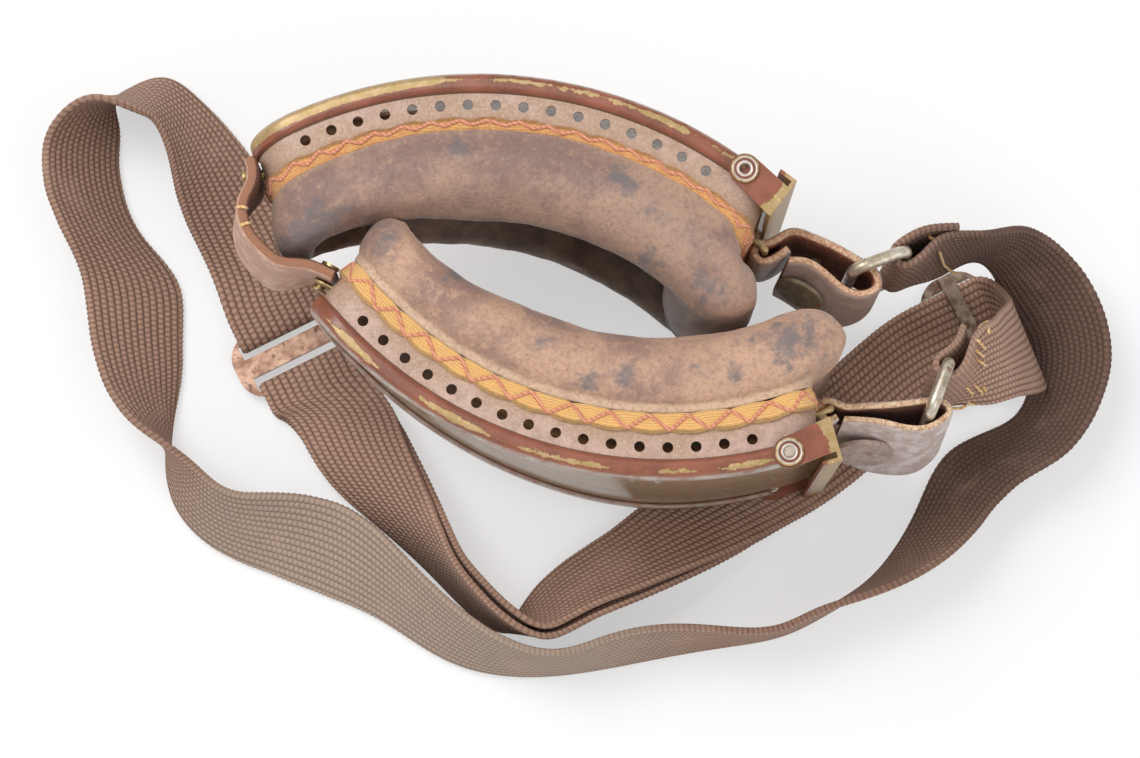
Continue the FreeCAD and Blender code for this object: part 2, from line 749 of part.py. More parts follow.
# Main strap: low edge and high edge by hand, from the right ring round the layout to slider A
MAIN_ROUTE = [
    ((69.6, 17.6, 19.0), (69.6, 22.6, 38.4)),
    ((77.3, 21.9, 15.0), (78.5, 24.3, 34.8)),
    ((82.3, 20.3, 9.0), (86.0, 25.4, 28.0)),
    ((85.9, 15.6, 3.6), (93.9, 23.9, 19.6)),
    ((89.0, 11.3, 0.9), (101.0, 16.6, 15.9)),
    ((91.4, 5.7, 0.9), (104.7, 4.8, 15.7)),
    ((90.9, -1.3, 0.9), (102.7, -5.9, 16.4)),
    ((87.7, -7.9, 0.9), (95.6, -16.5, 17.2)),
    ((80.5, -11.6, 0.9), (87.0, -22.0, 16.6)),
    ((73.5, -16.2, 0.9), (81.3, -27.4, 15.6)),
    ((68.7, -25.3, 0.9), (77.3, -32.2, 17.9)),
    ((63.3, -35.0, 0.9), (68.4, -39.3, 20.0)),
    ((57.0, -41.8, 0.9), (56.0, -44.6, 20.7)),
    ((50.4, -46.0, 0.9), (47.8, -47.2, 20.7)),
    ((41.9, -50.2, 0.9), (39.8, -50.6, 20.8)),
    ((32.2, -52.3, 0.9), (30.8, -51.0, 20.8)),
    ((21.4, -54.1, 0.9), (20.0, -50.3, 20.4)),
    ((9.6, -56.4, 0.9), (7.8, -52.2, 20.2)),
    ((-2.0, -58.1, 0.9), (-2.3, -55.1, 20.4)),
    ((-13.5, -58.2, 0.9), (-12.8, -52.5, 19.8)),
    ((-25.0, -55.0, 0.9), (-22.8, -45.4, 17.9)),
    ((-36.6, -47.9, 0.9), (-31.2, -37.2, 16.5)),
    ((-48.4, -42.7, 0.9), (-42.4, -27.2, 11.2)),
    ((-60.4, -37.9, 0.9), (-55.6, -24.3, 14.5)),
    ((-71.2, -32.5, 0.9), (-65.5, -24.0, 18.1)),
    ((-77.6, -24.8, 0.9), (-70.8, -20.5, 19.2)),
    ((-79.2, -16.4, 0.9), (-75.9, -16.5, 20.6)),
    ((-78.4, -8.3, 0.9), (-84.1, -10.8, 19.5)),
    ((-76.9, 0.7, 0.9), (-91.3, -0.3, 13.9)),
    ((-76.8, 9.7, 0.9), (-94.0, 9.9, 10.9)),
    ((-78.1, 19.5, 0.9), (-95.6, 19.0, 10.6)),
    ((-84.8, 27.9, 0.9), (-98.1, 25.8, 15.8)),
    ((-88.8, 35.9, 0.9), (-101.5, 33.5, 16.2)),
    ((-90.1, 44.0, 0.9), (-102.8, 41.1, 16.1)),
    ((-90.2, 50.9, 0.9), (-100.2, 48.6, 18.1)),
    ((-90.9, 55.2, 0.9), (-93.4, 52.4, 20.5)),
    ((-87.6, 58.3, 0.9), (-84.9, 50.4, 19.1)),
    ((-81.9, 60.4, 0.9), (-81.4, 48.8, 17.1)),
    ((-75.4, 57.2, 0.9), (-79.0, 44.2, 15.7)),
    ((-67.4, 49.0, 0.9), (-77.5, 37.6, 13.9)),
    ((-60.6, 39.9, 0.9), (-75.9, 31.3, 10.4)),
    ((-54.0, 28.9, 1.0), (-72.8, 24.3, 5.6)),
    ((-50.3, 21.3, 2.2), (-69.5, 16.4, 3.6)),
]
MAIN_AT_SLIDER = [(-9.6, 4.0), (-7.4, 4.15), (-5.65, 4.15), (-4.45, 3.65), (-3.95, 2.45),
                  (-4.45, 1.25), (-5.65, 0.78), (-7.4, 0.75), (-10.0, 0.75)]


def make_main_strap():
    wrap = ring_wrap(RIGHT_RING_TOP, RIGHT_RING_LOW, RIGHT_RING_REACH, RIGHT_RING_ACROSS,
                     RING_WIRE_R + 0.35 + MAIN_THICK / 2.0, (95, 140, 190, 240, 290))
    sewn_end = [((71.4, 22.6, 20.8), (73.0, 27.0, 40.0)), ((66.0, 20.4, 21.2), (66.6, 24.0, 40.6))]
    stations = sewn_end + wrap + MAIN_ROUTE
    for q, z in MAIN_AT_SLIDER:
        near, far = slider_station(SLIDER_A_CENTRE, SLIDER_A_LONG, SLIDER_A_ALONG, q, z)
        stations.append((far, near))
    return make_strip(stations, MAIN_THICK)


# Doubled run from slider A to the point of the bend and on to slider B: low edge, high edge
# and the distance between the two layers
DOUBLED_ROUTE = [
    ((-56.2, -8.4, 2.25), (-36.9, -3.5, 2.3), 2.4),
    ((-50.6, -15.6, 2.2), (-32.4, -11.8, 8.6), 2.2),
    ((-42.8, -24.6, 2.2), (-27.2, -23.2, 14.6), 1.9),
    ((-33.6, -31.8, 2.2), (-23.6, -31.9, 19.6), 1.8),
    ((-26.6, -38.0, 1.6), (-20.9, -37.6, 20.9), 1.8),
    ((-20.3, -44.2, 1.35), (-16.3, -43.2, 21.0), 2.0),
    ((-14.6, -48.4, 1.35), (-10.8, -48.3, 20.9), 2.0),
    ((-10.9, -48.4, 1.35), (-5.0, -51.2, 20.2), 2.0),
    ((-8.2, -45.2, 1.35), (-0.4, -50.0, 18.6), 2.2),
    ((-5.1, -41.4, 1.55), (4.4, -47.5, 17.6), 2.4),
    ((0.0, -36.9, 1.9), (11.6, -44.5, 16.2), 2.4),
    ((7.9, -31.4, 2.2), (21.2, -40.4, 13.6), 2.3),
    ((14.7, -25.6, 2.0), (30.1, -36.2, 9.0), 1.8),
    ((23.6, -19.3, 1.6), (40.0, -30.6, 2.5), 1.35),
    ((37.5, -9.4, 1.6), (50.2, -24.8, 1.66), 1.32),
    ((51.4, 1.6, 1.7), (61.8, -15.4, 1.7), 1.5),
    ((60.6, 9.4, 1.85), (69.6, -8.4, 1.95), 1.9),
]
BAR_WRAP = [(7.4, 4.05), (5.65, 4.05), (4.52, 3.58), (4.05, 2.45), (4.52, 1.32), (5.65, 0.85), (7.4, 0.82)]
DOUBLED_AT_A = [(9.4, 3.8)] + BAR_WRAP + [(9.4, 0.8)]
DOUBLED_START_B = [(-q, z) for q, z in BAR_WRAP] + [(-10.0, 0.82)]
DOUBLED_END_B = [(-11.4, 4.2), (-8.8, 5.25), (-5.65, 5.4), (-3.6, 4.95), (-2.0, 4.65), (-0.3, 4.5), (1.4, 4.45)]


def layer(route, sign):
    stations = [(low, high) for low, high, apart in route]
    middles, sections = strip_sections(stations, 1.0)
    moved = []
    for i in range(len(route)):
        low, high, apart = route[i]
        normal = sections[i][2] - sections[i][1]
        shift = normal * (sign * apart / 2.0)
        moved.append((tuple(Vector(*low) + shift), tuple(Vector(*high) + shift)))
    return moved


def make_doubled_strap():
    stations = []
    for q, z in DOUBLED_START_B:
        stations.append(slider_station(SLIDER_B_CENTRE, SLIDER_B_LONG, SLIDER_B_ALONG, q, z))
    stations += layer(DOUBLED_ROUTE, -1.0)[::-1]
    for q, z in DOUBLED_AT_A:
        stations.append(slider_station(SLIDER_A_CENTRE, SLIDER_A_LONG, SLIDER_A_ALONG, q, z))
    stations += layer(DOUBLED_ROUTE, 1.0)
    for q, z in DOUBLED_END_B:
        stations.append(slider_station(SLIDER_B_CENTRE, SLIDER_B_LONG, SLIDER_B_ALONG, q, z))
    return make_strip(stations, DOUBLED_THICK)


# Short end: from under slider B out to a broad fold and back to the left ring
SHORT_AT_B = [(1.7, 4.45), (3.6, 4.35), (5.6, 4.2)]
SHORT_ROUTE = [
    ((89.9, 1.6, 4.2), (82.2, 18.6, 8.6)),
    ((92.6, -1.6, 6.2), (84.6, 15.3, 13.4)),
    ((92.5, -3.5, 9.4), (84.6, 12.6, 19.6)),
    ((89.6, -4.9, 14.4), (82.2, 9.6, 26.6)),
    ((85.2, -6.2, 19.0), (79.4, 6.4, 33.4)),
    ((80.0, -7.8, 21.8), (76.0, 3.4, 37.8)),
]


def make_short_strap():
    stations = []
    for q, z in SHORT_AT_B:
        high, low = slider_station(SLIDER_B_CENTRE, SLIDER_B_LONG, SLIDER_B_ALONG, q, z)
        stations.append((low, high))
    stations += SHORT_ROUTE
    stations += ring_wrap(LEFT_RING_TOP, LEFT_RING_LOW, LEFT_RING_REACH, LEFT_RING_ACROSS,
                          RING_WIRE_R + 0.4 + DOUBLED_THICK / 2.0,
                          (230, 190, 140, 90, 50))
    stations += [((73.4, -5.2, 22.6), (71.9, 1.6, 40.6)), ((77.6, -4.9, 20.6), (73.9, 5.5, 36.4))]
    return make_strip(stations, DOUBLED_THICK)


# Leather across the nose, joining the two eyepieces: top edge and low edge, seen from above
BRIDGE_THICK = 2.2
BRIDGE_LOW_Z = 40.5
BRIDGE_HIGH_Z = 57.0
BRIDGE_ROUTE = [
    ((-58.9, 33.4), (-58.9, 33.4)),
    ((-58.3, 31.4), (-58.3, 31.4)),
    ((-58.3, 29.6), (-58.3, 29.6)),
    ((-59.1, 27.4), (-59.8, 27.3)),
    ((-60.0, 24.8), (-61.8, 24.5)),
    ((-59.8, 22.0), (-62.1, 21.0)),
    ((-58.6, 19.2), (-61.0, 17.4)),
    ((-56.4, 16.7), (-58.4, 14.3)),
    ((-53.5, 14.4), (-54.9, 12.0)),
    ((-50.2, 13.8), (-50.6, 12.6)),
    ((-47.5, 13.35), (-47.5, 13.35)),
    ((-45.0, 12.4), (-45.0, 12.4)),
    ((-43.3, 11.55), (-43.3, 11.55)),
]
BRIDGE_RIVET_R = 1.0
BRIDGE_RIVET_Z = 49.0
BRIDGE_RIVET_REACH = 2.7


def bridge_rivet(place, normal):
    normal.normalize()
    centre = Vector(place[0], place[1], BRIDGE_RIVET_Z)
    outside = BRIDGE_THICK / 2.0 + 0.75
    inside = BRIDGE_RIVET_REACH + 0.2
    shank = Part.makeCylinder(BRIDGE_RIVET_R, inside + outside + 0.2, centre - normal * inside, normal)
    head = Part.makeCylinder(1.8, 0.5, centre + normal * outside, normal)
    foot = Part.makeCylinder(1.6, 0.4, centre - normal * (BRIDGE_RIVET_REACH + 0.4), normal)
    return shank.fuse([head, foot]).removeSplitter()


def bridge_hole(place, normal):
    centre = Vector(place[0], place[1], BRIDGE_RIVET_Z)
    return Part.makeCylinder(BRIDGE_RIVET_R + RUNNING_GAP, 8.0, centre - normal * 4.0, normal)


RIGHT_BRIDGE_PLACE = (-58.3, 31.3)
RIGHT_BRIDGE_NORMAL = Vector(-0.985, -0.17, 0.0)
LEFT_BRIDGE_PLACE = (-45.2, 12.5)
LEFT_BRIDGE_NORMAL = Vector(0.462, 0.887, 0.0)


# Small lug on the left wall that the end of the nose leather is riveted to
LUG_FOOT = Vector(-42.5, 9.12, 45.0)
LUG_TURN_DEG = 152.5
LUG_LONG = 5.2
LUG_TALL = 8.0


def make_nose_lug():
    lug = Part.makeBox(LUG_LONG, WALL_THICK, LUG_TALL, Vector(0.0, -WALL_THICK / 2.0, 0.0))
    lug.rotate(Vector(0, 0, 0), Vector(0, 0, 1), LUG_TURN_DEG)
    lug.translate(LUG_FOOT)
    return lug


def make_bridge():
    stations = [(low + (BRIDGE_LOW_Z,), top + (BRIDGE_HIGH_Z,)) for top, low in BRIDGE_ROUTE]
    strip = make_strip(stations, BRIDGE_THICK)
    holes = [
        bridge_hole(RIGHT_BRIDGE_PLACE, RIGHT_BRIDGE_NORMAL),
        bridge_hole(LEFT_BRIDGE_PLACE, LEFT_BRIDGE_NORMAL),
    ]
    return strip.cut(Part.makeCompound(holes))


# Eyepiece pieces, both sides
EYEPIECE = {
    "vent_wall": make_vent_wall(),
    "lens_rim": make_lens_rim(),
    "lens": make_lens(),
    "temple_latch": make_temple_latch(),
    "latch_eyelets": make_latch_eyelets(),
    "wall_loop": make_wall_loop(),
    "cushion": make_cushion(),
    "cushion_lining": make_lining(),
    "binding_tape": make_tape(),
}
for name, shape in EYEPIECE.items():
    laid = lay_right(shape)
    if name == "vent_wall":
        laid = laid.cut(bridge_hole(RIGHT_BRIDGE_PLACE, RIGHT_BRIDGE_NORMAL))
    save("right_" + name, laid)
    laid = lay_left(shape)
    if name == "cushion":
        laid = laid.cut(lay_right(make_cushion(CUSHION_PRESS_GAP)))
    if name == "vent_wall":
        laid = laid.fuse(make_nose_lug()).removeSplitter()
        laid = laid.cut(bridge_hole(LEFT_BRIDGE_PLACE, LEFT_BRIDGE_NORMAL))
    save("left_" + name, laid)

# Pin riveted through the left latch's upper eyelet
pin = Part.makeCylinder(EYELET_BORE_R - 0.02, TOP_FLANGE_Z + 0.5 - TOP_Z + 1.4, pivot_point(TOP_Z - 1.4))
save("left_latch_pin", lay_left(pin))

# Tabs, rivets and rings
save("right_temple_tab", make_right_tab().cut(tab_hole(RIGHT_RIVET, RIGHT_RIVET_NORMAL)))
save("left_temple_tab", make_left_tab().cut(tab_hole(LEFT_RIVET, LEFT_RIVET_NORMAL)))
save("right_tab_rivet", disc_rivet(RIGHT_RIVET, RIGHT_RIVET_NORMAL, RIGHT_DISC_R, 0.8, 7.5))
save("left_tab_rivet", disc_rivet(LEFT_RIVET, LEFT_RIVET_NORMAL, LEFT_DISC_R, 1.0, 6.0))
save("right_wire_ring", make_ring(RIGHT_RING_TOP, RIGHT_RING_LOW, RIGHT_RING_REACH, RIGHT_RING_ACROSS))
save("left_wire_ring", make_ring(LEFT_RING_TOP, LEFT_RING_LOW, LEFT_RING_REACH, LEFT_RING_ACROSS))

# Strap, sliders and nose bridge
save("strap_main", make_main_strap())
save("strap_doubled", make_doubled_strap())
save("strap_short", make_short_strap())
save("slider_a", make_slider(SLIDER_A_CENTRE, SLIDER_A_LONG, MIDDLE_BAR_A, False))
save("slider_b", make_slider(SLIDER_B_CENTRE, SLIDER_B_LONG, MIDDLE_BAR_B, True))
save("nose_bridge", make_bridge())
save("right_bridge_rivet", bridge_rivet(RIGHT_BRIDGE_PLACE, RIGHT_BRIDGE_NORMAL))
save("left_bridge_rivet", bridge_rivet(LEFT_BRIDGE_PLACE, LEFT_BRIDGE_NORMAL))
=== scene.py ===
import math

import bpy
import numpy as np
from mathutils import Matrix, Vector, noise
from mathutils.bvhtree import BVHTree


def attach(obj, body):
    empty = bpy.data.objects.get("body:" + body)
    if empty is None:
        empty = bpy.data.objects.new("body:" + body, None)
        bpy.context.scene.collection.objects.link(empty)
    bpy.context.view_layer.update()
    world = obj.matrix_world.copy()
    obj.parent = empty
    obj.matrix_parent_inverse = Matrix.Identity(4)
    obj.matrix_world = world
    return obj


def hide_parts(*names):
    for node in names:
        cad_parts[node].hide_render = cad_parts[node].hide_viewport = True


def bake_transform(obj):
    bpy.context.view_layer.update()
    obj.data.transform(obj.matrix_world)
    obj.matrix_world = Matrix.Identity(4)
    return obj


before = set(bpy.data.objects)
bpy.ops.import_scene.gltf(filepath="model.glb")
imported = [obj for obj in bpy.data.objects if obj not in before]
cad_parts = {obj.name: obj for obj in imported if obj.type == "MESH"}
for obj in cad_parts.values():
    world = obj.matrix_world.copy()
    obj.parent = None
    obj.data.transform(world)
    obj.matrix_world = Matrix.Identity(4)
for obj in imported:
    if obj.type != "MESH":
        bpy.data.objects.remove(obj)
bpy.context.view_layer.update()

bl_info = {
    "name": "Folded flying goggles",
    "version": (1, 0, 0),
    "blender": (4, 5, 0),
    "location": "View3D > Sidebar > Goggles",
    "description": "Dresses a pair of old flying goggles that lie folded with their strap laid out",
    "category": "Object",
}

MM = 0.001
EYES = ("right", "left")

# Shape of one eyepiece, in millimetres: s runs round the face, z is up, r is the radius from the eye side
TOP_Z = 57.5
BOTTOM_Z = 1.6
TEMPLE_S = 54.0
NOSE_SLOPE_DEG = 30.7
NOSE_LINE = -11.3
FRONT_R = 83.0
LEAST_CORNER_R = 3.0
SIDES = {
    "top": (90.0, TOP_Z),
    "nose": (270.0 - NOSE_SLOPE_DEG, NOSE_LINE),
    "bottom": (270.0, -BOTTOM_Z),
    "temple": (360.0, TEMPLE_S),
}
CORNERS = [("top", "nose", 9.0), ("nose", "bottom", 40.0), ("bottom", "temple", 6.0), ("temple", "top", 6.0)]
# Where each folded eyepiece lies on the table, in millimetres and degrees
LAID = {
    "right": {"centre": (-18.09, -35.35), "turn": -4.45, "mirror": 1.0, "lift": 0.0},
    "left": {"centre": (16.77, 56.26), "turn": -197.05, "mirror": -1.0, "lift": 3.0},
}
LAYOUT_SHIFT = np.array([-0.96, -0.91, 0.0])

# The photograph's viewpoint: elevation, distance and focal length in its own pixels
VIEW_ELEVATION = math.radians(82.3)
VIEW_DISTANCE = 705.0
VIEW_FOCAL_PX = 3560.25
PHOTO_SIZE = (1140, 758)


def facing(side):
    """Way that a side of the outline faces, in s and z."""
    angle = math.radians(SIDES[side][0])
    return math.cos(angle), math.sin(angle)


def corner_point(number, share, offset):
    """Point on one rounded corner of the outline, moved out by the offset."""
    first, second, radius = CORNERS[number]
    radius = max(radius + offset, LEAST_CORNER_R)
    ax, ay = facing(first)
    bx, by = facing(second)
    reach_a = SIDES[first][1] + offset - radius
    reach_b = SIDES[second][1] + offset - radius
    size = ax * by - ay * bx
    centre_s = (reach_a * by - reach_b * ay) / size
    centre_z = (ax * reach_b - bx * reach_a) / size
    start, end = SIDES[first][0], SIDES[second][0]
    if end < start:
        end += 360.0
    angle = math.radians(start + (end - start) * share)
    return centre_s + radius * math.cos(angle), centre_z + radius * math.sin(angle)


def outline_point(place, offset):
    kind, number, share = place
    if kind == "corner":
        return corner_point(number, share, offset)
    before = corner_point(number - 1, 1.0, offset)
    after = corner_point(number, 0.0, offset)
    return tuple(before[i] + (after[i] - before[i]) * share for i in (0, 1))


def curved(s, z, r):
    """Point of the eyepiece on the curve of the face."""
    angle = s / ((FRONT_R + r) / 2.0)
    return np.array([r * math.sin(angle), r * math.cos(angle), z])


def places_round(step):
    """Places round the outline about step millimetres apart, from the temple end of the top."""
    places = []
    for number in range(4):
        for kind in ("side", "corner"):
            ends = [outline_point((kind, number, share), 0.0) for share in (0.0, 0.25, 0.5, 0.75, 1.0)]
            long = sum(math.dist(ends[i], ends[i + 1]) for i in range(4))
            count = max(int(round(long / step)), 3)
            places += [(kind, number, i / count) for i in range(count)]
    return places


PROBE_IN = 6.0
PROBE_BACK = 25.0


def section_frame(place):
    """Place on the outline with the ways out of the wall and away from the face there."""
    s, z = outline_point(place, 0.0)
    inner_s, inner_z = outline_point(place, -PROBE_IN)
    base = curved(s, z, FRONT_R)
    outward = (base - curved(inner_s, inner_z, FRONT_R)) / PROBE_IN
    forward = (base - curved(s, z, FRONT_R - PROBE_BACK)) / PROBE_BACK
    return base, outward, forward


def arc(first, middle, last, count):
    """Points on the arc through three points, without its last point."""
    (ax, ay), (bx, by), (cx, cy) = first, middle, last
    d = 2.0 * (ax * (by - cy) + bx * (cy - ay) + cx * (ay - by))
    a2, b2, c2 = ax * ax + ay * ay, bx * bx + by * by, cx * cx + cy * cy
    ux = (a2 * (by - cy) + b2 * (cy - ay) + c2 * (ay - by)) / d
    uy = (a2 * (cx - bx) + b2 * (ax - cx) + c2 * (bx - ax)) / d
    radius = math.hypot(ax - ux, ay - uy)
    start = math.atan2(ay - uy, ax - ux)
    mid = math.atan2(by - uy, bx - ux)
    end = math.atan2(cy - uy, cx - ux)
    turn = (end - start) % math.tau
    if (mid - start) % math.tau > turn:
        turn -= math.tau
    angles = [start + turn * i / count for i in range(count)]
    return [(ux + radius * math.cos(angle), uy + radius * math.sin(angle)) for angle in angles]


def outline_of(pieces, counts):
    """A closed profile: straight pieces and arcs cut into the given numbers of steps."""
    points = []
    for piece, count in zip(pieces, counts):
        if len(piece) == 3:
            points += arc(piece[0], piece[1], piece[2], count)
        else:
            (ax, ay), (bx, by) = piece
            points += [(ax + (bx - ax) * i / count, ay + (by - ay) * i / count) for i in range(count)]
    return points


def swept(places, profile_at):
    """Grid of points: one row for each place, with the profile in its section plane."""
    rows = []
    for place in places:
        base, outward, forward = section_frame(place)
        rows.append([base + outward * a + forward * (r - FRONT_R) for a, r in profile_at(place)])
    return np.array(rows)


def lay(side, points):
    """From the eyepiece's own millimetres to the place where it lies on the table."""
    laid = LAID[side]
    turn = math.radians(laid["turn"])
    points = np.asarray(points, float)
    x = points[..., 0] * laid["mirror"]
    y = points[..., 1]
    out = np.empty_like(points)
    out[..., 0] = x * math.cos(turn) - y * math.sin(turn) + laid["centre"][0]
    out[..., 1] = x * math.sin(turn) + y * math.cos(turn) + laid["centre"][1]
    out[..., 2] = points[..., 2] + laid["lift"]
    return out


def along(grid):
    """Distance run along the rows of a grid, closing back to the first row."""
    middle = grid.mean(axis=1)
    steps = np.linalg.norm(np.roll(middle, -1, axis=0) - middle, axis=1)
    return np.concatenate([[0.0], np.cumsum(steps)])


SHARP_ANGLE = math.radians(48.0)


def make_mesh(name, grid, u, v, close_rows=False, close_columns=True, caps=False):
    """Mesh on a grid in millimetres, with u and v in millimetres as its UV map."""
    rows, columns = grid.shape[:2]
    i, j = np.meshgrid(np.arange(rows if close_rows else rows - 1),
                       np.arange(columns if close_columns else columns - 1), indexing="ij")
    i2, j2 = (i + 1) % rows, (j + 1) % columns
    here, ahead = i * columns, i2 * columns
    quads = np.stack([here + j, ahead + j, ahead + j2, here + j2], -1).reshape(-1, 4)
    u = np.asarray(u, float)
    v = np.concatenate([np.asarray(v, float), [v[0]]])
    next_u = u[i + 1 if close_rows else i2]
    uvs = np.stack([np.stack(corner, -1) for corner in
                    ((u[i], v[j]), (next_u, v[j]), (next_u, v[j + 1]), (u[i], v[j + 1]))], -2).reshape(-1, 2)
    points = grid.reshape(-1, 3) * MM
    a, b, c, d = (points[quads[:, k]] for k in range(4))
    inside_out = (a * np.cross(b, c)).sum() + (a * np.cross(c, d)).sum() < 0
    faces = quads.tolist()
    if caps:
        faces.append(list(range(columns - 1, -1, -1)))
        faces.append([(rows - 1) * columns + k for k in range(columns)])
        uvs = np.concatenate([uvs, [(u[0], v[k]) for k in range(columns - 1, -1, -1)],
                              [(u[rows - 1], v[k]) for k in range(columns)]])
    mesh = bpy.data.meshes.new(name)
    mesh.from_pydata(points.tolist(), [], faces)
    layer = mesh.uv_layers.new(name="run")
    layer.data.foreach_set("uv", (uvs * MM).ravel())
    if inside_out:
        mesh.flip_normals()
    mesh.shade_smooth()
    mesh.set_sharp_from_angle(angle=SHARP_ANGLE)
    return mesh


def make_piece(name, mesh, material):
    piece = bpy.data.objects.new(name, mesh)
    bpy.context.scene.collection.objects.link(piece)
    mesh.materials.clear()
    mesh.materials.append(material)
    return piece


def mark(mesh, name, values):
    """A number on every point of the mesh, for its material."""
    layer = mesh.attributes.new(name, "FLOAT", "POINT")
    layer.data.foreach_set("value", np.asarray(values, np.float32).ravel())


def smooth_step(low, high, value):
    t = np.clip((np.asarray(value, float) - low) / (high - low), 0.0, 1.0)
    return t * t * (3.0 - 2.0 * t)


def in_photo(points):
    """Where points of a piece show in the photograph, in its pixels."""
    points = np.asarray(points, float) - LAYOUT_SHIFT
    sin_e, cos_e = math.sin(VIEW_ELEVATION), math.cos(VIEW_ELEVATION)
    rel = points - VIEW_DISTANCE * np.array([0.0, -cos_e, sin_e])
    depth = rel[..., 1] * cos_e - rel[..., 2] * sin_e
    x = PHOTO_SIZE[0] / 2.0 + VIEW_FOCAL_PX * rel[..., 0] / depth
    y = PHOTO_SIZE[1] / 2.0 - VIEW_FOCAL_PX * (rel[..., 1] * sin_e + rel[..., 2] * cos_e) / depth
    return np.stack([x, y], -1)


# Materials and node trees
def colour(code):
    """sRGB hex to linear red, green, blue, alpha."""
    parts = [int(code[i:i + 2], 16) / 255.0 for i in (1, 3, 5)]
    return tuple(p / 12.92 if p <= 0.04045 else ((p + 0.055) / 1.055) ** 2.4 for p in parts) + (1.0,)


# Every kind of node used here: Blender's name, its fixed settings, its inputs in the order in which add() takes
# them, and the output that add() gives back, or None where it gives the node itself
KINDS = {
    "place": ("ShaderNodeTexCoord", {}, (), "Object"),
    "run": ("ShaderNodeUVMap", {"uv_map": "run"}, (), "UV"),
    "mark": ("ShaderNodeAttribute", {"attribute_type": "GEOMETRY"}, (), "Fac"),
    "stretch": ("ShaderNodeVectorMath", {"operation": "MULTIPLY"}, (0, 1), "Vector"),
    "parts": ("ShaderNodeSeparateXYZ", {}, (0,), None),
    "noise": ("ShaderNodeTexNoise", {}, ("Vector", "Scale", "Detail", "Roughness"), "Fac"),
    "cells": ("ShaderNodeTexVoronoi", {"feature": "F1"}, ("Vector", "Scale"), "Distance"),
    "twist": ("ShaderNodeTexWave", {"bands_direction": "DIAGONAL"},
              ("Vector", "Scale", "Distortion", "Detail"), "Fac"),
    "ramp": ("ShaderNodeMapRange", {"interpolation_type": "SMOOTHSTEP"},
             ("Value", "From Min", "From Max"), "Result"),
    "mix": ("ShaderNodeMix", {"data_type": "RGBA"}, (0, 6, 7), 2),
    "bump": ("ShaderNodeBump", {}, ("Height", "Distance", "Normal"), "Normal"),
    "rays": ("ShaderNodeLightPath", {}, (), None),
    "principled": ("ShaderNodeBsdfPrincipled", {}, (), None),
    "matt": ("ShaderNodeBsdfDiffuse", {}, ("Color",), "BSDF"),
    "glow": ("ShaderNodeEmission", {}, ("Color", "Strength"), "Emission"),
    "two shaders": ("ShaderNodeMixShader", {}, (0, 1, 2), "Shader"),
    "surface": ("ShaderNodeOutputMaterial", {}, ("Surface",), None),
    "tree inputs": ("NodeGroupInput", {}, (), None),
    "tree output": ("NodeGroupOutput", {}, (0,), None),
    "curve": ("GeometryNodeMeshToCurve", {}, ("Mesh",), "Curve"),
    "round corners": ("GeometryNodeFilletCurve", {"mode": "POLY"},
                      ("Curve", "Radius", "Limit Radius", "Count"), "Curve"),
    "ring": ("GeometryNodeCurvePrimitiveCircle", {}, ("Resolution", "Radius"), "Curve"),
    "tube": ("GeometryNodeCurveToMesh", {}, ("Curve", "Profile Curve", "Fill Caps"), "Mesh"),
    "smooth": ("GeometryNodeSetShadeSmooth", {}, ("Geometry",), "Geometry"),
    "object": ("GeometryNodeObjectInfo", {}, ("Object",), "Geometry"),
    "drill": ("GeometryNodeMeshCylinder", {}, ("Vertices", "Radius", "Depth"), "Mesh"),
    "copies": ("GeometryNodeInstanceOnPoints", {}, ("Points", "Instance"), "Instances"),
    "cut": ("GeometryNodeMeshBoolean", {"operation": "DIFFERENCE", "solver": "EXACT"},
            ("Mesh 1", "Mesh 2"), "Mesh"),
    "real": ("GeometryNodeRealizeInstances", {}, ("Geometry",), "Geometry"),
    "material": ("GeometryNodeSetMaterial", {}, ("Geometry", "Material"), "Geometry"),
}
for sum_name in ("ADD", "SUBTRACT", "MULTIPLY", "DIVIDE", "MULTIPLY_ADD", "POWER", "MAXIMUM",
                 "ABSOLUTE", "SQRT", "SINE", "FLOOR", "FRACT"):
    KINDS[sum_name] = ("ShaderNodeMath", {"operation": sum_name}, (0, 1, 2), "Value")


def add(tree, kind, *inputs, **settings):
    """Adds a node with its settings. Its inputs are links, hex colours or plain values."""
    blender_name, fixed, names, output = KINDS[kind]
    node = tree.nodes.new(blender_name)
    for name, value in {**fixed, **settings}.items():
        setattr(node, name, value)
    for name, value in zip(names, inputs):
        if isinstance(value, bpy.types.NodeSocket):
            tree.links.new(value, node.inputs[name])
        else:
            node.inputs[name].default_value = colour(value) if isinstance(value, str) else value
    return node if output is None else node.outputs[output]


def surface(name, **constants):
    """New material with one principled shader, whose constants sit on its own sockets."""
    material = bpy.data.materials.new(name)
    material.use_nodes = True
    tree = material.node_tree
    tree.nodes.clear()
    shader = add(tree, "principled")
    add(tree, "surface", shader.outputs["BSDF"])
    for key, value in constants.items():
        shader.inputs[key.replace("_", " ")].default_value = value
    return material, tree, shader


def connect(tree, shader, **sockets):
    for name, socket in sockets.items():
        tree.links.new(socket, shader.inputs[name.replace("_", " ")])


def millimetres(tree):
    """The piece's own place in millimetres, so that a pattern's scale is one over the size of its features."""
    return add(tree, "stretch", add(tree, "place"), (1000.0, 1000.0, 1000.0))


def marks(tree, *names):
    """The numbers that a piece carries on its points under these names."""
    return [add(tree, "mark", attribute_name=name) for name in names]


def patches(tree, source, low, high, share):
    """Nothing where the source is below low, the given share where it is above high, smooth between."""
    return add(tree, "MULTIPLY", add(tree, "ramp", source, low, high), share)


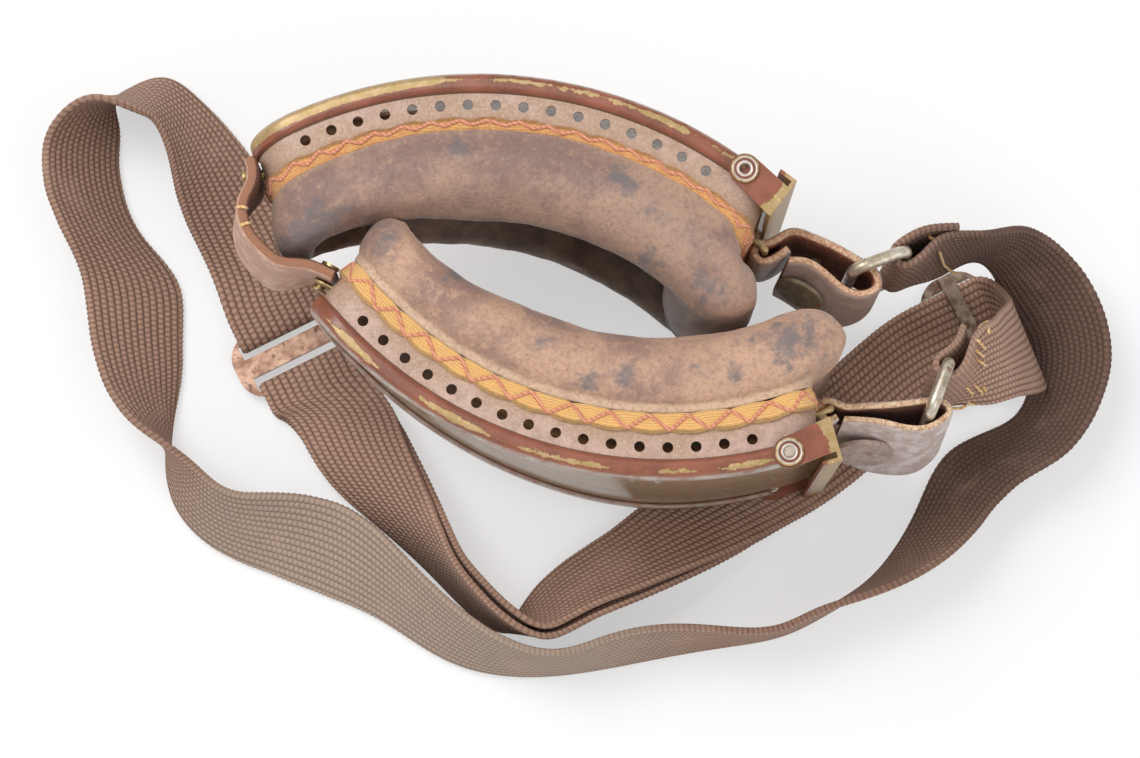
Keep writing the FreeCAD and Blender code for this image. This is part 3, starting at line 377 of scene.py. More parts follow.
def away_from(tree, axis):
    """Distance in millimetres from an upright axis."""
    place = add(tree, "parts", millimetres(tree)).outputs
    x = add(tree, "SUBTRACT", place["X"], axis[0])
    y = add(tree, "SUBTRACT", place["Y"], axis[1])
    return add(tree, "SQRT", add(tree, "MULTIPLY_ADD", x, x, add(tree, "MULTIPLY", y, y)))


def make_worn_lacquer(looks, name, pivot=None):
    """Stoved lacquer on brass: a red-brown gloss, chipped to dull metal in ragged patches where it is worn; the
    front face carries a painted pale grey reflection and the groove by the wall painted shade.
    """
    material, tree, shader = surface(name, Specular_IOR_Level=0.55)
    where = millimetres(tree)
    wear, front, groove_shade = marks(tree, "wear", "front", "groove_shade")
    ragged = add(tree, "noise", where, 1.0 / 4.2, 9.0, 0.74)
    fine = add(tree, "noise", where, 1.0 / 0.7, 4.0, 0.65)
    jagged = add(tree, "noise", where, 1.0 / 1.5, 6.0, 0.7)
    bare = add(tree, "ADD", add(tree, "MULTIPLY", ragged, 0.85), wear)
    bare = add(tree, "MULTIPLY_ADD", jagged, 0.45, bare)
    if pivot:
        bare = add(tree, "ADD", bare, patches(tree, away_from(tree, pivot), 5.6, 8.4, 0.60))
    bare = add(tree, "ramp", add(tree, "ADD", bare, add(tree, "MULTIPLY", fine, 0.14)), 1.12, 1.14)
    cloudy = add(tree, "noise", where, 1.0 / 7.0, 5.0, 0.55)
    paint = add(tree, "mix", add(tree, "ramp", cloudy, 0.36, 0.64), "#79442f", (*looks.lacquer, 1.0))
    paint = add(tree, "mix", patches(tree, fine, 0.56, 0.72, 0.35), paint, "#ab7058")
    tarnish = add(tree, "noise", where, 1.0 / 1.7, 5.0, 0.55)
    metal = add(tree, "mix", add(tree, "ramp", tarnish, 0.40, 0.62), (*looks.brass, 1.0), "#a58a58")
    metal = add(tree, "mix", add(tree, "ramp", fine, 0.60, 0.68), metal, "#d3bb74")
    tone = add(tree, "mix", bare, paint, metal)
    # Painted reflection: the rim's front face, marked front, is painted a mottled pale grey, the white
    # surroundings reflected in its gloss
    reflection_mottle = add(tree, "ramp", add(tree, "noise", where, 1.0 / 3.0, 5.0, 0.55), 0.45, 0.62)
    tone = add(tree, "mix", add(tree, "MULTIPLY", front, add(tree, "ramp", ragged, 0.75, 0.35)), tone,
               add(tree, "mix", reflection_mottle, "#bdb0a6", "#b0ada0"))
    # Painted shade: the groove where the rim meets the wall is darkened
    tone = add(tree, "mix", add(tree, "MULTIPLY", groove_shade, 0.8), tone, "#6f5646")
    step = add(tree, "bump", add(tree, "SUBTRACT", 1.0, bare), 0.035 * MM)
    connect(tree, shader, Base_Color=tone, Metallic=add(tree, "MULTIPLY", bare, 0.35),
            Roughness=add(tree, "MULTIPLY_ADD", fine, 0.22, add(tree, "MULTIPLY_ADD", bare, 0.10, 0.20)),
            Normal=add(tree, "bump", fine, 0.015 * MM, step))
    return material


def make_wall_lacquer(looks):
    """Thin lacquer brushed on sheet metal: pinkish and half gloss, finely mottled, worn sandy in clouds."""
    material, tree, shader = surface("wall_lacquer", Specular_IOR_Level=0.4)
    where = millimetres(tree)
    mottle = add(tree, "noise", where, 1.0 / 2.6, 6.0, 0.7)
    grit = add(tree, "noise", where, 1.0 / 0.42, 3.0, 0.6)
    tone = add(tree, "mix", add(tree, "ramp", mottle, 0.34, 0.64), "#a88879", (*looks.wall, 1.0))
    sandy = add(tree, "ADD", add(tree, "noise", where, 1.0 / 9.0, 5.0, 0.6),
                add(tree, "MULTIPLY", marks(tree, "sandy")[0], 0.25))
    tone = add(tree, "mix", patches(tree, sandy, 0.46, 0.72, 0.75), tone, "#a5856a")
    tone = add(tree, "mix", patches(tree, grit, 0.42, 0.68, 0.45), tone, "#cfb8a6")
    connect(tree, shader, Base_Color=tone, Roughness=add(tree, "MULTIPLY_ADD", mottle, 0.35, 0.30),
            Normal=add(tree, "bump", grit, 0.03 * MM, add(tree, "bump", mottle, 0.04 * MM)))
    return material


def make_metal(name, light, dark, stain, size=2.0, rough=0.3, shine=0.85):
    """Old plated or bare metal, drawn or stamped: clouds of tarnish and spots of brown dull its shine."""
    material, tree, shader = surface(name)
    where = millimetres(tree)
    tarnish = add(tree, "noise", where, 1.0 / size, 6.0, 0.62)
    tone = add(tree, "mix", add(tree, "ramp", tarnish, 0.38, 0.64), light, dark)
    spots = add(tree, "ramp", add(tree, "noise", where, 1.0 / (size * 0.8), 8.0, 0.7), 0.56, 0.64)
    connect(tree, shader, Base_Color=add(tree, "mix", spots, tone, stain),
            Metallic=add(tree, "MULTIPLY_ADD", spots, -0.7 * shine, shine),
            Roughness=add(tree, "MULTIPLY_ADD", tarnish, 0.4, rough - 0.1),
            Normal=add(tree, "bump", tarnish, 0.04 * MM))
    return material


def make_eyelet(name, pivot):
    """Turned brass eyelet: bright roll at the bore, red-brown lacquer round it, a pale ring of metal with a
    painted highlight outside that, worn brass at the rim.
    """
    material, tree, shader = surface(name)
    where = millimetres(tree)
    reach = away_from(tree, pivot)
    wear = add(tree, "noise", where, 1.0 / 1.1, 5.0, 0.65)
    blur = add(tree, "MULTIPLY_ADD", wear, 0.4, reach)
    tone = add(tree, "mix", add(tree, "ramp", blur, 1.62, 1.72), "#d9cfc4", "#a56c5a")
    # Pale metal with a painted highlight: a thin bright ring just outside the lacquer
    tone = add(tree, "mix", add(tree, "ramp", blur, 2.12, 2.20), tone, "#d2c6b8")
    rim = add(tree, "mix", add(tree, "ramp", wear, 0.45, 0.6), "#cbb07c", "#a5835e")
    tone = add(tree, "mix", add(tree, "ramp", blur, 2.42, 2.52), tone, rim)
    ridge = add(tree, "ABSOLUTE", add(tree, "SINE", add(tree, "MULTIPLY", reach, math.pi / 0.9)))
    connect(tree, shader, Base_Color=tone, Metallic=patches(tree, wear, 0.35, 0.6, 0.5),
            Roughness=add(tree, "MULTIPLY_ADD", wear, 0.3, 0.18), Normal=add(tree, "bump", ridge, 0.35 * MM))
    return material


def make_lens_glass(looks):
    """Old yellowed glass, ground and polished: see-through, with a film of dust that gathers in clouds."""
    material, tree, shader = surface("lens_glass", IOR=1.5, Specular_IOR_Level=0.6)
    dust = add(tree, "noise", millimetres(tree), 1.0 / 7.0, 8.0, 0.7)
    film = add(tree, "ramp", dust, 0.42, 0.72)
    connect(tree, shader, Base_Color=add(tree, "mix", film, (*looks.glass, 1.0), "#c3a58c"),
            Alpha=add(tree, "MULTIPLY_ADD", add(tree, "ramp", dust, 0.40, 0.75), 0.16, 0.50),
            Roughness=add(tree, "MULTIPLY_ADD", dust, 0.2, 0.02))
    return material


def make_cushion_leather(looks):
    """Thin tanned sheepskin over a soft roll: pebbled and nearly matt, rubbed tan, stained blue-black,
    khaki-brown low down, with painted shade on its inner face.

    The pebbles are 0.55 mm across, about twice the skin's own grain, so that they show.
    """
    material, tree, shader = surface("cushion_leather", Sheen_Weight=0.15, Sheen_Roughness=0.5,
                                     Specular_IOR_Level=0.4)
    where = millimetres(tree)
    rubbed, stain, seam = marks(tree, "rubbed", "stain", "seam_side")
    cool, khaki_and_shade, shade = marks(tree, "cool", "khaki_and_shade", "shade")
    broad = add(tree, "noise", where, 1.0 / 13.0, 6.0, 0.62)
    speckle = add(tree, "noise", where, 1.0 / 0.9, 5.0, 0.72)
    flecks = add(tree, "noise", where, 1.0 / 1.9, 6.0, 0.7)
    pebbles = add(tree, "cells", where, 1.0 / 0.55)
    light = add(tree, "ADD", broad, add(tree, "MULTIPLY", rubbed, 0.16))
    tan = add(tree, "mix", add(tree, "ramp", light, 0.40, 0.64), (*looks.leather_dark, 1.0),
              (*looks.leather_light, 1.0))
    tan = add(tree, "mix", patches(tree, flecks, 0.52, 0.64, 0.55), tan, "#cda384")
    tan = add(tree, "mix", patches(tree, speckle, 0.44, 0.72, 0.50), tan, "#795c50")
    tan = add(tree, "mix", cool, tan, "#565056")
    stained = add(tree, "ADD", add(tree, "noise", where, 1.0 / 2.6, 7.0, 0.68),
                  add(tree, "MULTIPLY", stain, 0.42))
    tan = add(tree, "mix", patches(tree, stained, 0.60, 0.86, 0.80), tan, "#6c6769")
    edge = add(tree, "mix", add(tree, "ramp", speckle, 0.42, 0.62), "#dcbd9f", "#c2a188")
    tan = add(tree, "mix", add(tree, "MULTIPLY", seam, 0.85), tan, edge)
    tan = add(tree, "mix", add(tree, "ramp", seam, 0.86, 0.98), tan, "#8e836a")
    smoky = add(tree, "ramp", add(tree, "noise", where, 1.0 / 4.0, 5.0, 0.55), 0.38, 0.62)
    # The khaki mark paints a khaki brown low on the roll and painted shade on its inner face; the shade mark
    # adds deeper painted shade on the inner face by the nose
    tan = add(tree, "mix", khaki_and_shade, tan, add(tree, "mix", smoky, "#43372e", "#6b5947"))
    tan = add(tree, "mix", add(tree, "ramp", shade, 0.05, 0.9), tan, "#2c2422")
    tan = add(tree, "mix", patches(tree, pebbles, 0.42, 0.12, 0.22), tan, "#6d554b")
    grain = add(tree, "bump", speckle, 0.10 * MM, add(tree, "bump", pebbles, 0.07 * MM))
    connect(tree, shader, Base_Color=tan, Normal=grain,
            Roughness=add(tree, "SUBTRACT", add(tree, "MULTIPLY_ADD", speckle, 0.30, 0.40),
                          add(tree, "MULTIPLY", shade, 0.18)))
    return material


def make_weave(name, light, dark, column, row, depth, rough=0.85, stains_and_painted_light=None, sheen=0.15):
    """Plain woven cloth, matt with a slight sheen.

    Its threads stand a column apart across the run and a row apart along it, both in millimetres. The tape and
    the lining are drawn about twice as coarse as they are, so that their threads show; the strap's ribs are at
    their real distance.
    """
    material, tree, shader = surface(name, Sheen_Weight=sheen, Sheen_Roughness=0.6, Specular_IOR_Level=0.2,
                                     Roughness=rough)
    run = add(tree, "parts", add(tree, "stretch", add(tree, "run"), (1000.0, 1000.0, 0.0))).outputs
    u, v = run["X"], run["Y"]
    warp = add(tree, "ABSOLUTE", add(tree, "SINE", add(tree, "MULTIPLY", v, math.pi / column)))
    odd = add(tree, "FRACT", add(tree, "MULTIPLY", add(tree, "FLOOR", add(tree, "DIVIDE", v, column)), 0.5))
    turned = add(tree, "MULTIPLY_ADD", u, math.pi / row, add(tree, "MULTIPLY", odd, math.pi))
    weft = add(tree, "ABSOLUTE", add(tree, "SINE", turned))
    height = add(tree, "MULTIPLY", add(tree, "POWER", warp, 0.6), add(tree, "MULTIPLY_ADD", weft, 0.6, 0.4))
    fuzz = add(tree, "noise", millimetres(tree), 1.0 / 0.5, 4.0, 0.7)
    crests = add(tree, "MULTIPLY_ADD", fuzz, 0.6, add(tree, "MULTIPLY_ADD", height, 0.9, -0.35))
    tone = add(tree, "mix", crests, dark, light)
    if stains_and_painted_light:
        tone = stains_and_painted_light(tree, tone, height, fuzz)
    connect(tree, shader, Base_Color=tone,
            Normal=add(tree, "bump", fuzz, 0.08 * MM, add(tree, "bump", height, depth * MM)))
    return material


def tape_stains(tree, tone, height, fuzz):
    orange, inner = marks(tree, "orange", "inner")
    faded = add(tree, "noise", millimetres(tree), 1.0 / 2.4, 5.0, 0.65)
    tone = add(tree, "mix", patches(tree, faded, 0.42, 0.64, 0.55), tone, "#e8b46c")
    tone = add(tree, "mix", add(tree, "MULTIPLY", orange, add(tree, "ramp", fuzz, 0.35, 0.65)), tone, "#cf8456")
    return add(tree, "mix", inner, tone, "#8a5c46")


def webbing_stains_and_painted_light(tree, tone, height, fuzz):
    grey, dark = marks(tree, "grey", "dark")
    worn = add(tree, "noise", millimetres(tree), 1.0 / 14.0, 5.0, 0.6)
    washed = add(tree, "MULTIPLY", grey, add(tree, "MULTIPLY_ADD", height, 0.5, 0.35))
    tone = add(tree, "mix", washed, tone, "#b3a596")
    # Painted shade and painted light from the dark mark: above nought it darkens the strap, below nought it
    # lightens the crests of its weave
    tone = add(tree, "mix", add(tree, "MULTIPLY", dark, 0.85), tone, "#493530")
    crests = add(tree, "MULTIPLY_ADD", height, -1.1, -0.1)
    tone = add(tree, "mix", add(tree, "MULTIPLY", dark, crests), tone, "#e2b9a0")
    tone = add(tree, "mix", patches(tree, worn, 0.5, 0.75, 0.35), tone, "#c4a290")
    return add(tree, "mix", patches(tree, fuzz, 0.66, 0.74, 0.6), tone, "#c9925f")


def make_tab_leather(name, face, worn, edge, inside):
    """Dressed strap leather: smooth half-gloss face, pale cut edges and a matt fibrous inner side."""
    material, tree, shader = surface(name, Specular_IOR_Level=0.4)
    where = millimetres(tree)
    rough_side, cut_edge = marks(tree, "rough_side", "cut_edge")
    mottle = add(tree, "noise", where, 1.0 / 2.8, 6.0, 0.65)
    fibres = add(tree, "noise", where, 1.0 / 0.55, 6.0, 0.78)
    cut = add(tree, "ramp", cut_edge, 0.35, 0.75)
    tone = add(tree, "mix", add(tree, "ramp", mottle, 0.40, 0.66), face, worn)
    tone = add(tree, "mix", rough_side, tone,
               add(tree, "mix", add(tree, "ramp", fibres, 0.36, 0.64), "#4a2c24", inside))
    tone = add(tree, "mix", cut, tone, add(tree, "mix", add(tree, "ramp", fibres, 0.36, 0.66), edge, "#a8704e"))
    fuzzy = add(tree, "MULTIPLY_ADD", add(tree, "MAXIMUM", rough_side, cut), 0.45,
                add(tree, "MULTIPLY_ADD", mottle, 0.3, 0.30))
    grain = add(tree, "bump", add(tree, "cells", where, 1.0 / 0.5), 0.05 * MM)
    connect(tree, shader, Base_Color=tone, Roughness=fuzzy, Normal=add(tree, "bump", fibres, 0.12 * MM, grain))
    return material


def make_thread(name, code, shade):
    """Twisted sewing cotton: matt, with a darker groove between its plies."""
    material, tree, shader = surface(name, Sheen_Weight=0.3, Specular_IOR_Level=0.25, Roughness=0.8)
    twist = add(tree, "twist", millimetres(tree), 0.55, 2.0, 1.0)
    connect(tree, shader, Base_Color=add(tree, "mix", add(tree, "ramp", twist, 0.1, 0.9), shade, code),
            Normal=add(tree, "bump", twist, 0.05 * MM))
    return material


def new_tree(name, taken, given, inputs):
    """Empty geometry tree: with its two pieces of geometry and its other inputs, whose identifiers it gives."""
    tree = bpy.data.node_groups.new(name, "GeometryNodeTree")
    face = tree.interface
    face.new_socket(taken, in_out="INPUT", socket_type="NodeSocketGeometry")
    keys = {key: face.new_socket(label, in_out="INPUT", socket_type=kind).identifier
            for key, (label, kind) in inputs.items()}
    face.new_socket(given, in_out="OUTPUT", socket_type="NodeSocketGeometry")
    return tree, add(tree, "tree inputs").outputs, keys


def thread_tree():
    """Tree that turns a drawn line into a rounded thread."""
    tree, start, keys = new_tree("sewing_thread", "Line", "Thread", {
        "width": ("Thread width", "NodeSocketFloat"),
        "bend": ("Bend radius", "NodeSocketFloat"),
        "stuff": ("Thread", "NodeSocketMaterial"),
    })
    line = add(tree, "round corners", add(tree, "curve", start["Line"]), start["Bend radius"], True, 4)
    ring = add(tree, "ring", 8, add(tree, "MULTIPLY", start["Thread width"], 0.5))
    solid = add(tree, "real", add(tree, "smooth", add(tree, "tube", line, ring, True)))
    add(tree, "tree output", add(tree, "material", solid, start["Thread"]))
    return tree, keys


def vent_tree():
    """Tree that punches a round hole at each marked place."""
    tree, start, keys = new_tree("vent_holes", "Wall", "Wall", {
        "places": ("Places", "NodeSocketObject"),
        "width": ("Hole width", "NodeSocketFloat"),
        "depth": ("Drill length", "NodeSocketFloat"),
        "stuff": ("Lacquer", "NodeSocketMaterial"),
    })
    drill = add(tree, "drill", 20, add(tree, "MULTIPLY", start["Hole width"], 0.5), start["Drill length"])
    drills = add(tree, "real", add(tree, "copies", add(tree, "object", start["Places"]), drill))
    add(tree, "tree output", add(tree, "material", add(tree, "cut", start["Wall"], drills), start["Lacquer"]))
    return tree, keys


def grown(piece, tree, values):
    """The plain mesh that a tree makes of a piece; the piece keeps it and loses the modifier."""
    modifier = piece.modifiers.new("made", "NODES")
    modifier.node_group = tree
    for identifier, value in values.items():
        modifier[identifier] = value
    piece.update_tag()
    bpy.context.view_layer.update()
    seen = piece.evaluated_get(bpy.context.evaluated_depsgraph_get())
    mesh = bpy.data.meshes.new_from_object(seen)
    piece.modifiers.remove(modifier)
    old = piece.data
    piece.data = mesh
    bpy.data.meshes.remove(old)
    if not len(mesh.vertices):
        raise RuntimeError(piece.name + " came out empty")
    return piece


# Materials, trees and strips that more than one operator uses
MADE = {}


def made_once(key, maker):
    if key not in MADE:
        MADE[key] = maker()
    return MADE[key]


def sew(name, lines, width, bend, material):
    """Threads along lines of points in millimetres, as one piece."""
    points, edges = [], []
    for line in lines:
        first = len(points)
        points += [tuple(np.asarray(p) * MM) for p in line]
        edges += [(first + i, first + i + 1) for i in range(len(line) - 1)]
    mesh = bpy.data.meshes.new(name)
    mesh.from_pydata(points, edges, [])
    piece = bpy.data.objects.new(name, mesh)
    bpy.context.scene.collection.objects.link(piece)
    tree, keys = made_once("thread_tree", thread_tree)
    return grown(piece, tree, {keys["width"]: width * MM, keys["bend"]: bend * MM, keys["stuff"]: material})


# Strips: webbing and leather given by a low edge and a high edge
def through(times, values, at):
    """Smooth curve through the values at the given times, read at other times."""
    n = len(times)
    h = np.diff(times)
    a = np.zeros((n, n))
    b = np.zeros_like(values)
    a[0, 0] = a[-1, -1] = 1.0
    for i in range(1, n - 1):
        a[i, i - 1:i + 2] = h[i - 1], 2.0 * (h[i - 1] + h[i]), h[i]
        b[i] = 6.0 * ((values[i + 1] - values[i]) / h[i] - (values[i] - values[i - 1]) / h[i - 1])
    m = np.linalg.solve(a, b)
    k = np.clip(np.searchsorted(times, at, side="right") - 1, 0, n - 2)
    d = (times[k + 1] - at)[:, None]
    e = (at - times[k])[:, None]
    hk = h[k][:, None]
    bend = (m[k] * d ** 3 + m[k + 1] * e ** 3) / (6.0 * hk)
    return bend + (values[k] / hk - m[k] * hk / 6.0) * d + (values[k + 1] / hk - m[k + 1] * hk / 6.0) * e


def unit(vectors):
    return vectors / np.maximum(np.linalg.norm(vectors, axis=-1, keepdims=True), 1e-9)


def run_strip(stations, step):
    """Dense low edge, high edge, normal and run of a strip given by stations."""
    low = np.array([s[0] for s in stations], float)
    high = np.array([s[1] for s in stations], float)
    middle = (low + high) / 2.0
    times = np.concatenate([[0.0], np.cumsum(np.linalg.norm(np.diff(middle, axis=0), axis=1))])
    at = np.linspace(0.0, times[-1], max(int(times[-1] / step), 8))
    low, high = through(times, low, at) + LAYOUT_SHIFT, through(times, high, at) + LAYOUT_SHIFT
    middle = (low + high) / 2.0
    ahead = unit(np.gradient(middle, axis=0))
    normal = unit(np.cross(high - low, ahead))
    return {"low": low, "high": high, "normal": normal, "run": at, "times": times}


WEBBING_ROW = 1.02
WEBBING_STEP = WEBBING_ROW / 4.0
CROWDED = math.pi / 2.0 * 0.86


def strip_grid(strip, thick, columns, edge_from, edge_rise, frill, wander=0.0, seed=0.0):
    """Points round the section of a strip at every step: one face, then the other.

    The columns crowd towards the edges, which are edge_rise as thick, toothed by frill and stray by wander.
    """
    low, high, normal, rows = (strip[key] for key in ("low", "high", "normal", "run"))
    across = np.sin(np.linspace(-1.0, 1.0, columns) * CROWDED) / math.sin(CROWDED)
    tooth = frill * (np.abs(((rows / WEBBING_ROW) % 1.0) - 0.5) * 4.0 - 1.0)

    def stray(r, side):
        return noise.noise(Vector((r * 0.21, seed, side))) + 0.5 * noise.noise(Vector((r * 1.3, seed, side)))

    ragged = np.array([[stray(r, side) for side in (0.0, 7.0)] for r in rows]) * wander
    middle = (low + high) / 2.0
    half = (high - low) / 2.0
    wide = np.linalg.norm(half, axis=1)
    grid = np.empty((len(low), 2 * columns, 3))
    v = np.empty(2 * columns)
    rise = np.interp(np.abs(across), [0.0, edge_from, (1.0 + edge_from) / 2.0, 1.0], [1.0, 1.0, edge_rise, 0.5])
    for k, w in enumerate(across):
        reach = w * (1.0 + (tooth + ragged[:, 1 if w > 0 else 0]) * abs(w) ** 6 / wide)
        base = middle + half * reach[:, None]
        grid[:, k] = base + normal * (thick / 2.0 * rise[k])
        grid[:, 2 * columns - 1 - k] = base - normal * (thick / 2.0 * rise[k])
        v[k] = v[2 * columns - 1 - k] = w * wide.mean()
    return grid, v, across


# Routes of the strips, drawn in millimetres. Most rows are a low edge and a high edge.
def arc_points(centre, radius, degrees):
    return [(centre[0] + radius * math.cos(math.radians(a)), centre[1] + radius * math.sin(math.radians(a)))
            for a in degrees]


RINGS = {
    "right": {"top": (53.0, 14.9, 42.9), "low": (52.2, 12.9, 19.4),
              "across": (0.935, 0.354, 0.0), "reach": 10.8},
    "left": {"top": (66.8, -11.9, 45.9), "low": (66.2, -16.2, 22.7),
             "across": (0.36, 0.93, 0.0), "reach": 10.4},
}
RING_TALL = 23.6
RING_WIRE_R = 1.2
HALF_WIDTH = 10.0


def ring_wrap(side, radius, degrees):
    """Stations of a strip that goes round the upright leg of a wire ring."""
    ring = RINGS[side]
    top, low = np.array(ring["top"]), np.array(ring["low"])
    up = unit(top - low)
    across = np.array(ring["across"])
    across = unit(across - up * across.dot(up))
    foot = low + across * ring["reach"] + up * (RING_TALL / 2.0 - HALF_WIDTH)
    away = np.cross(up, across)
    stations = []
    for angle in degrees:
        turn = math.radians(angle)
        start = foot + across * (radius * math.cos(turn)) + away * (radius * math.sin(turn))
        stations.append((tuple(start), tuple(start + up * 2.0 * HALF_WIDTH)))
    return stations


SLIDERS = {
    "a": {"centre": (-54.0, 6.1), "long": (0.894, 0.447), "along": (0.447, -0.894)},
    "b": {"centre": (79.3, 8.3), "long": (0.447, -0.894), "along": (0.894, 0.447)},
}


def at_slider(name, q, z):
    """Station of a strip in a slider, q past its middle bar along the strip and z above the table."""
    slider = SLIDERS[name]
    x = slider["centre"][0] + slider["along"][0] * q
    y = slider["centre"][1] + slider["along"][1] * q
    dx, dy = slider["long"][0] * HALF_WIDTH, slider["long"][1] * HALF_WIDTH
    return (x - dx, y - dy, z), (x + dx, y + dy, z)


MAIN_THICK = 1.4
DOUBLED_THICK = 1.2
MAIN_ROUTE = [
    ((69.6, 17.0, 19.0), (69.6, 21.6, 38.4)),
    ((77.3, 21.2, 15.0), (78.5, 23.2, 34.8)),
    ((82.3, 20.3, 9.0), (86.0, 25.4, 28.0)),
    ((85.9, 15.6, 3.6), (93.9, 23.9, 19.6)),
    ((89.0, 11.3, 0.9), (101.0, 16.6, 15.9)),
    ((91.4, 5.7, 0.9), (104.7, 4.8, 15.7)),
    ((90.9, -1.3, 0.9), (102.7, -5.9, 16.4)),
    ((87.7, -7.9, 0.9), (95.6, -16.5, 17.2)),
    ((80.5, -11.6, 0.9), (87.0, -22.0, 16.6)),
    ((73.5, -16.2, 0.9), (81.3, -27.4, 15.6)),
    ((68.7, -25.3, 0.9), (77.3, -32.2, 17.9)),
    ((63.3, -35.0, 0.9), (68.4, -39.3, 20.0)),
    ((57.0, -41.8, 0.9), (56.0, -44.6, 20.7)),
    ((50.4, -46.0, 0.9), (47.8, -47.2, 20.7)),
    ((41.9, -50.2, 0.9), (39.8, -50.6, 20.8)),
    ((32.2, -52.3, 0.9), (30.8, -51.0, 20.8)),
    ((21.4, -54.1, 0.9), (20.0, -50.3, 20.4)),
    ((9.6, -56.4, 0.9), (7.8, -52.2, 20.2)),
    ((-2.0, -58.1, 0.9), (-2.3, -55.1, 20.4)),
    ((-13.5, -58.2, 0.9), (-12.8, -52.5, 19.8)),
    ((-25.0, -55.0, 0.9), (-22.8, -45.4, 17.9)),
    ((-36.6, -47.9, 0.9), (-31.2, -37.2, 16.5)),
    ((-48.4, -42.7, 0.9), (-42.4, -27.2, 11.2)),
    ((-60.4, -37.9, 0.9), (-55.6, -24.3, 14.5)),
    ((-71.2, -32.5, 0.9), (-65.5, -24.0, 18.1)),
    ((-77.6, -24.8, 0.9), (-70.8, -20.5, 19.2)),
    ((-79.2, -16.4, 0.9), (-75.9, -16.5, 20.6)),
    ((-78.4, -8.3, 0.9), (-84.1, -10.8, 19.5)),
    ((-76.9, 0.7, 0.9), (-91.3, -0.3, 13.9)),
    ((-76.8, 9.7, 0.9), (-94.0, 9.9, 10.9)),
    ((-78.1, 19.5, 0.9), (-95.6, 19.0, 10.6)),
    ((-84.8, 27.9, 0.9), (-98.1, 25.8, 15.8)),
    ((-88.8, 35.9, 0.9), (-101.5, 33.5, 16.2)),
    ((-90.1, 44.0, 0.9), (-102.8, 41.1, 16.1)),
    ((-90.2, 50.9, 0.9), (-100.2, 48.6, 18.1)),
    ((-90.9, 55.2, 0.9), (-93.4, 52.4, 20.5)),
    ((-87.6, 58.3, 0.9), (-84.9, 50.4, 19.1)),
    ((-81.9, 60.4, 0.9), (-81.4, 48.8, 17.1)),
    ((-75.4, 57.2, 0.9), (-79.0, 44.2, 15.7)),
    ((-67.4, 49.0, 0.9), (-77.5, 37.6, 13.9)),
    ((-60.6, 39.9, 0.9), (-75.9, 31.3, 10.4)),
    ((-54.0, 28.9, 1.0), (-72.8, 24.3, 5.6)),
    ((-50.3, 21.3, 2.2), (-69.5, 16.4, 3.6)),
]
# Through the sliders: distance past the middle bar and height
MAIN_AT_SLIDER = [(-9.6, 4.0), (-7.4, 4.15), (-5.65, 4.15), (-4.45, 3.65), (-3.95, 2.45),
                  (-4.45, 1.25), (-5.65, 0.78), (-7.4, 0.75), (-10.0, 0.75)]
# Two layers that lie together: low edge, high edge and how far the layers stand apart
DOUBLED_ROUTE = [
    ((-56.2, -8.4, 2.25), (-36.9, -3.5, 2.3), 2.4),
    ((-50.6, -15.6, 2.2), (-32.4, -11.8, 8.6), 2.2),
    ((-42.8, -24.6, 2.2), (-27.2, -23.2, 14.6), 1.9),
    ((-33.6, -31.8, 2.2), (-23.6, -31.9, 19.6), 1.8),
    ((-26.6, -38.0, 1.6), (-20.9, -37.6, 20.9), 1.8),
    ((-20.3, -44.2, 1.35), (-16.3, -43.2, 21.0), 2.0),
    ((-14.6, -48.4, 1.35), (-10.8, -48.3, 20.9), 2.0),
    ((-10.9, -48.4, 1.35), (-5.0, -51.2, 20.2), 2.0),
    ((-8.2, -45.2, 1.35), (-0.4, -50.0, 18.6), 2.2),
    ((-5.1, -41.4, 1.55), (4.4, -47.5, 17.6), 2.4),
    ((0.0, -36.9, 1.9), (11.6, -44.5, 16.2), 2.4),
    ((7.9, -31.4, 2.2), (21.2, -40.4, 13.6), 2.3),
    ((14.7, -25.6, 2.0), (30.1, -36.2, 9.0), 1.8),
    ((23.6, -19.3, 1.6), (40.0, -30.6, 2.5), 1.35),
    ((37.5, -9.4, 1.6), (50.2, -24.8, 1.66), 1.32),
    ((51.4, 1.6, 1.7), (61.8, -15.4, 1.7), 1.5),
    ((60.6, 9.4, 1.85), (69.6, -8.4, 1.95), 1.9),
]
BAR_WRAP = [(7.4, 4.05), (5.65, 4.05), (4.52, 3.58), (4.05, 2.45), (4.52, 1.32), (5.65, 0.85), (7.4, 0.82)]
DOUBLED_END_B = [(-11.4, 4.2), (-8.8, 5.25), (-5.65, 5.4), (-3.6, 4.95), (-2.0, 4.65), (-0.3, 4.5), (1.4, 4.45)]
SHORT_AT_B = [(1.7, 4.45), (3.6, 4.35), (5.6, 4.2)]
SHORT_ROUTE = [
    ((89.9, 1.6, 4.2), (82.2, 18.6, 8.6)),
    ((92.6, -1.6, 6.2), (84.6, 15.3, 13.4)),
    ((92.5, -3.5, 9.4), (84.6, 12.6, 19.6)),
    ((89.6, -4.9, 14.4), (82.2, 9.6, 26.6)),
    ((85.2, -6.2, 19.0), (79.4, 6.4, 33.4)),
    ((80.0, -7.8, 21.8), (76.0, 3.4, 37.8)),
]


def main_stations():
    wrap = ring_wrap("right", RING_WIRE_R + 0.35 + MAIN_THICK / 2.0, (95, 140, 190, 240, 290))
    sewn = [((71.4, 20.4, 20.8), (73.4, 24.2, 37.4)), ((66.0, 19.6, 21.2), (66.6, 23.2, 39.4))]
    ends = [at_slider("a", q, z)[::-1] for q, z in MAIN_AT_SLIDER]
    return sewn + wrap + MAIN_ROUTE + ends


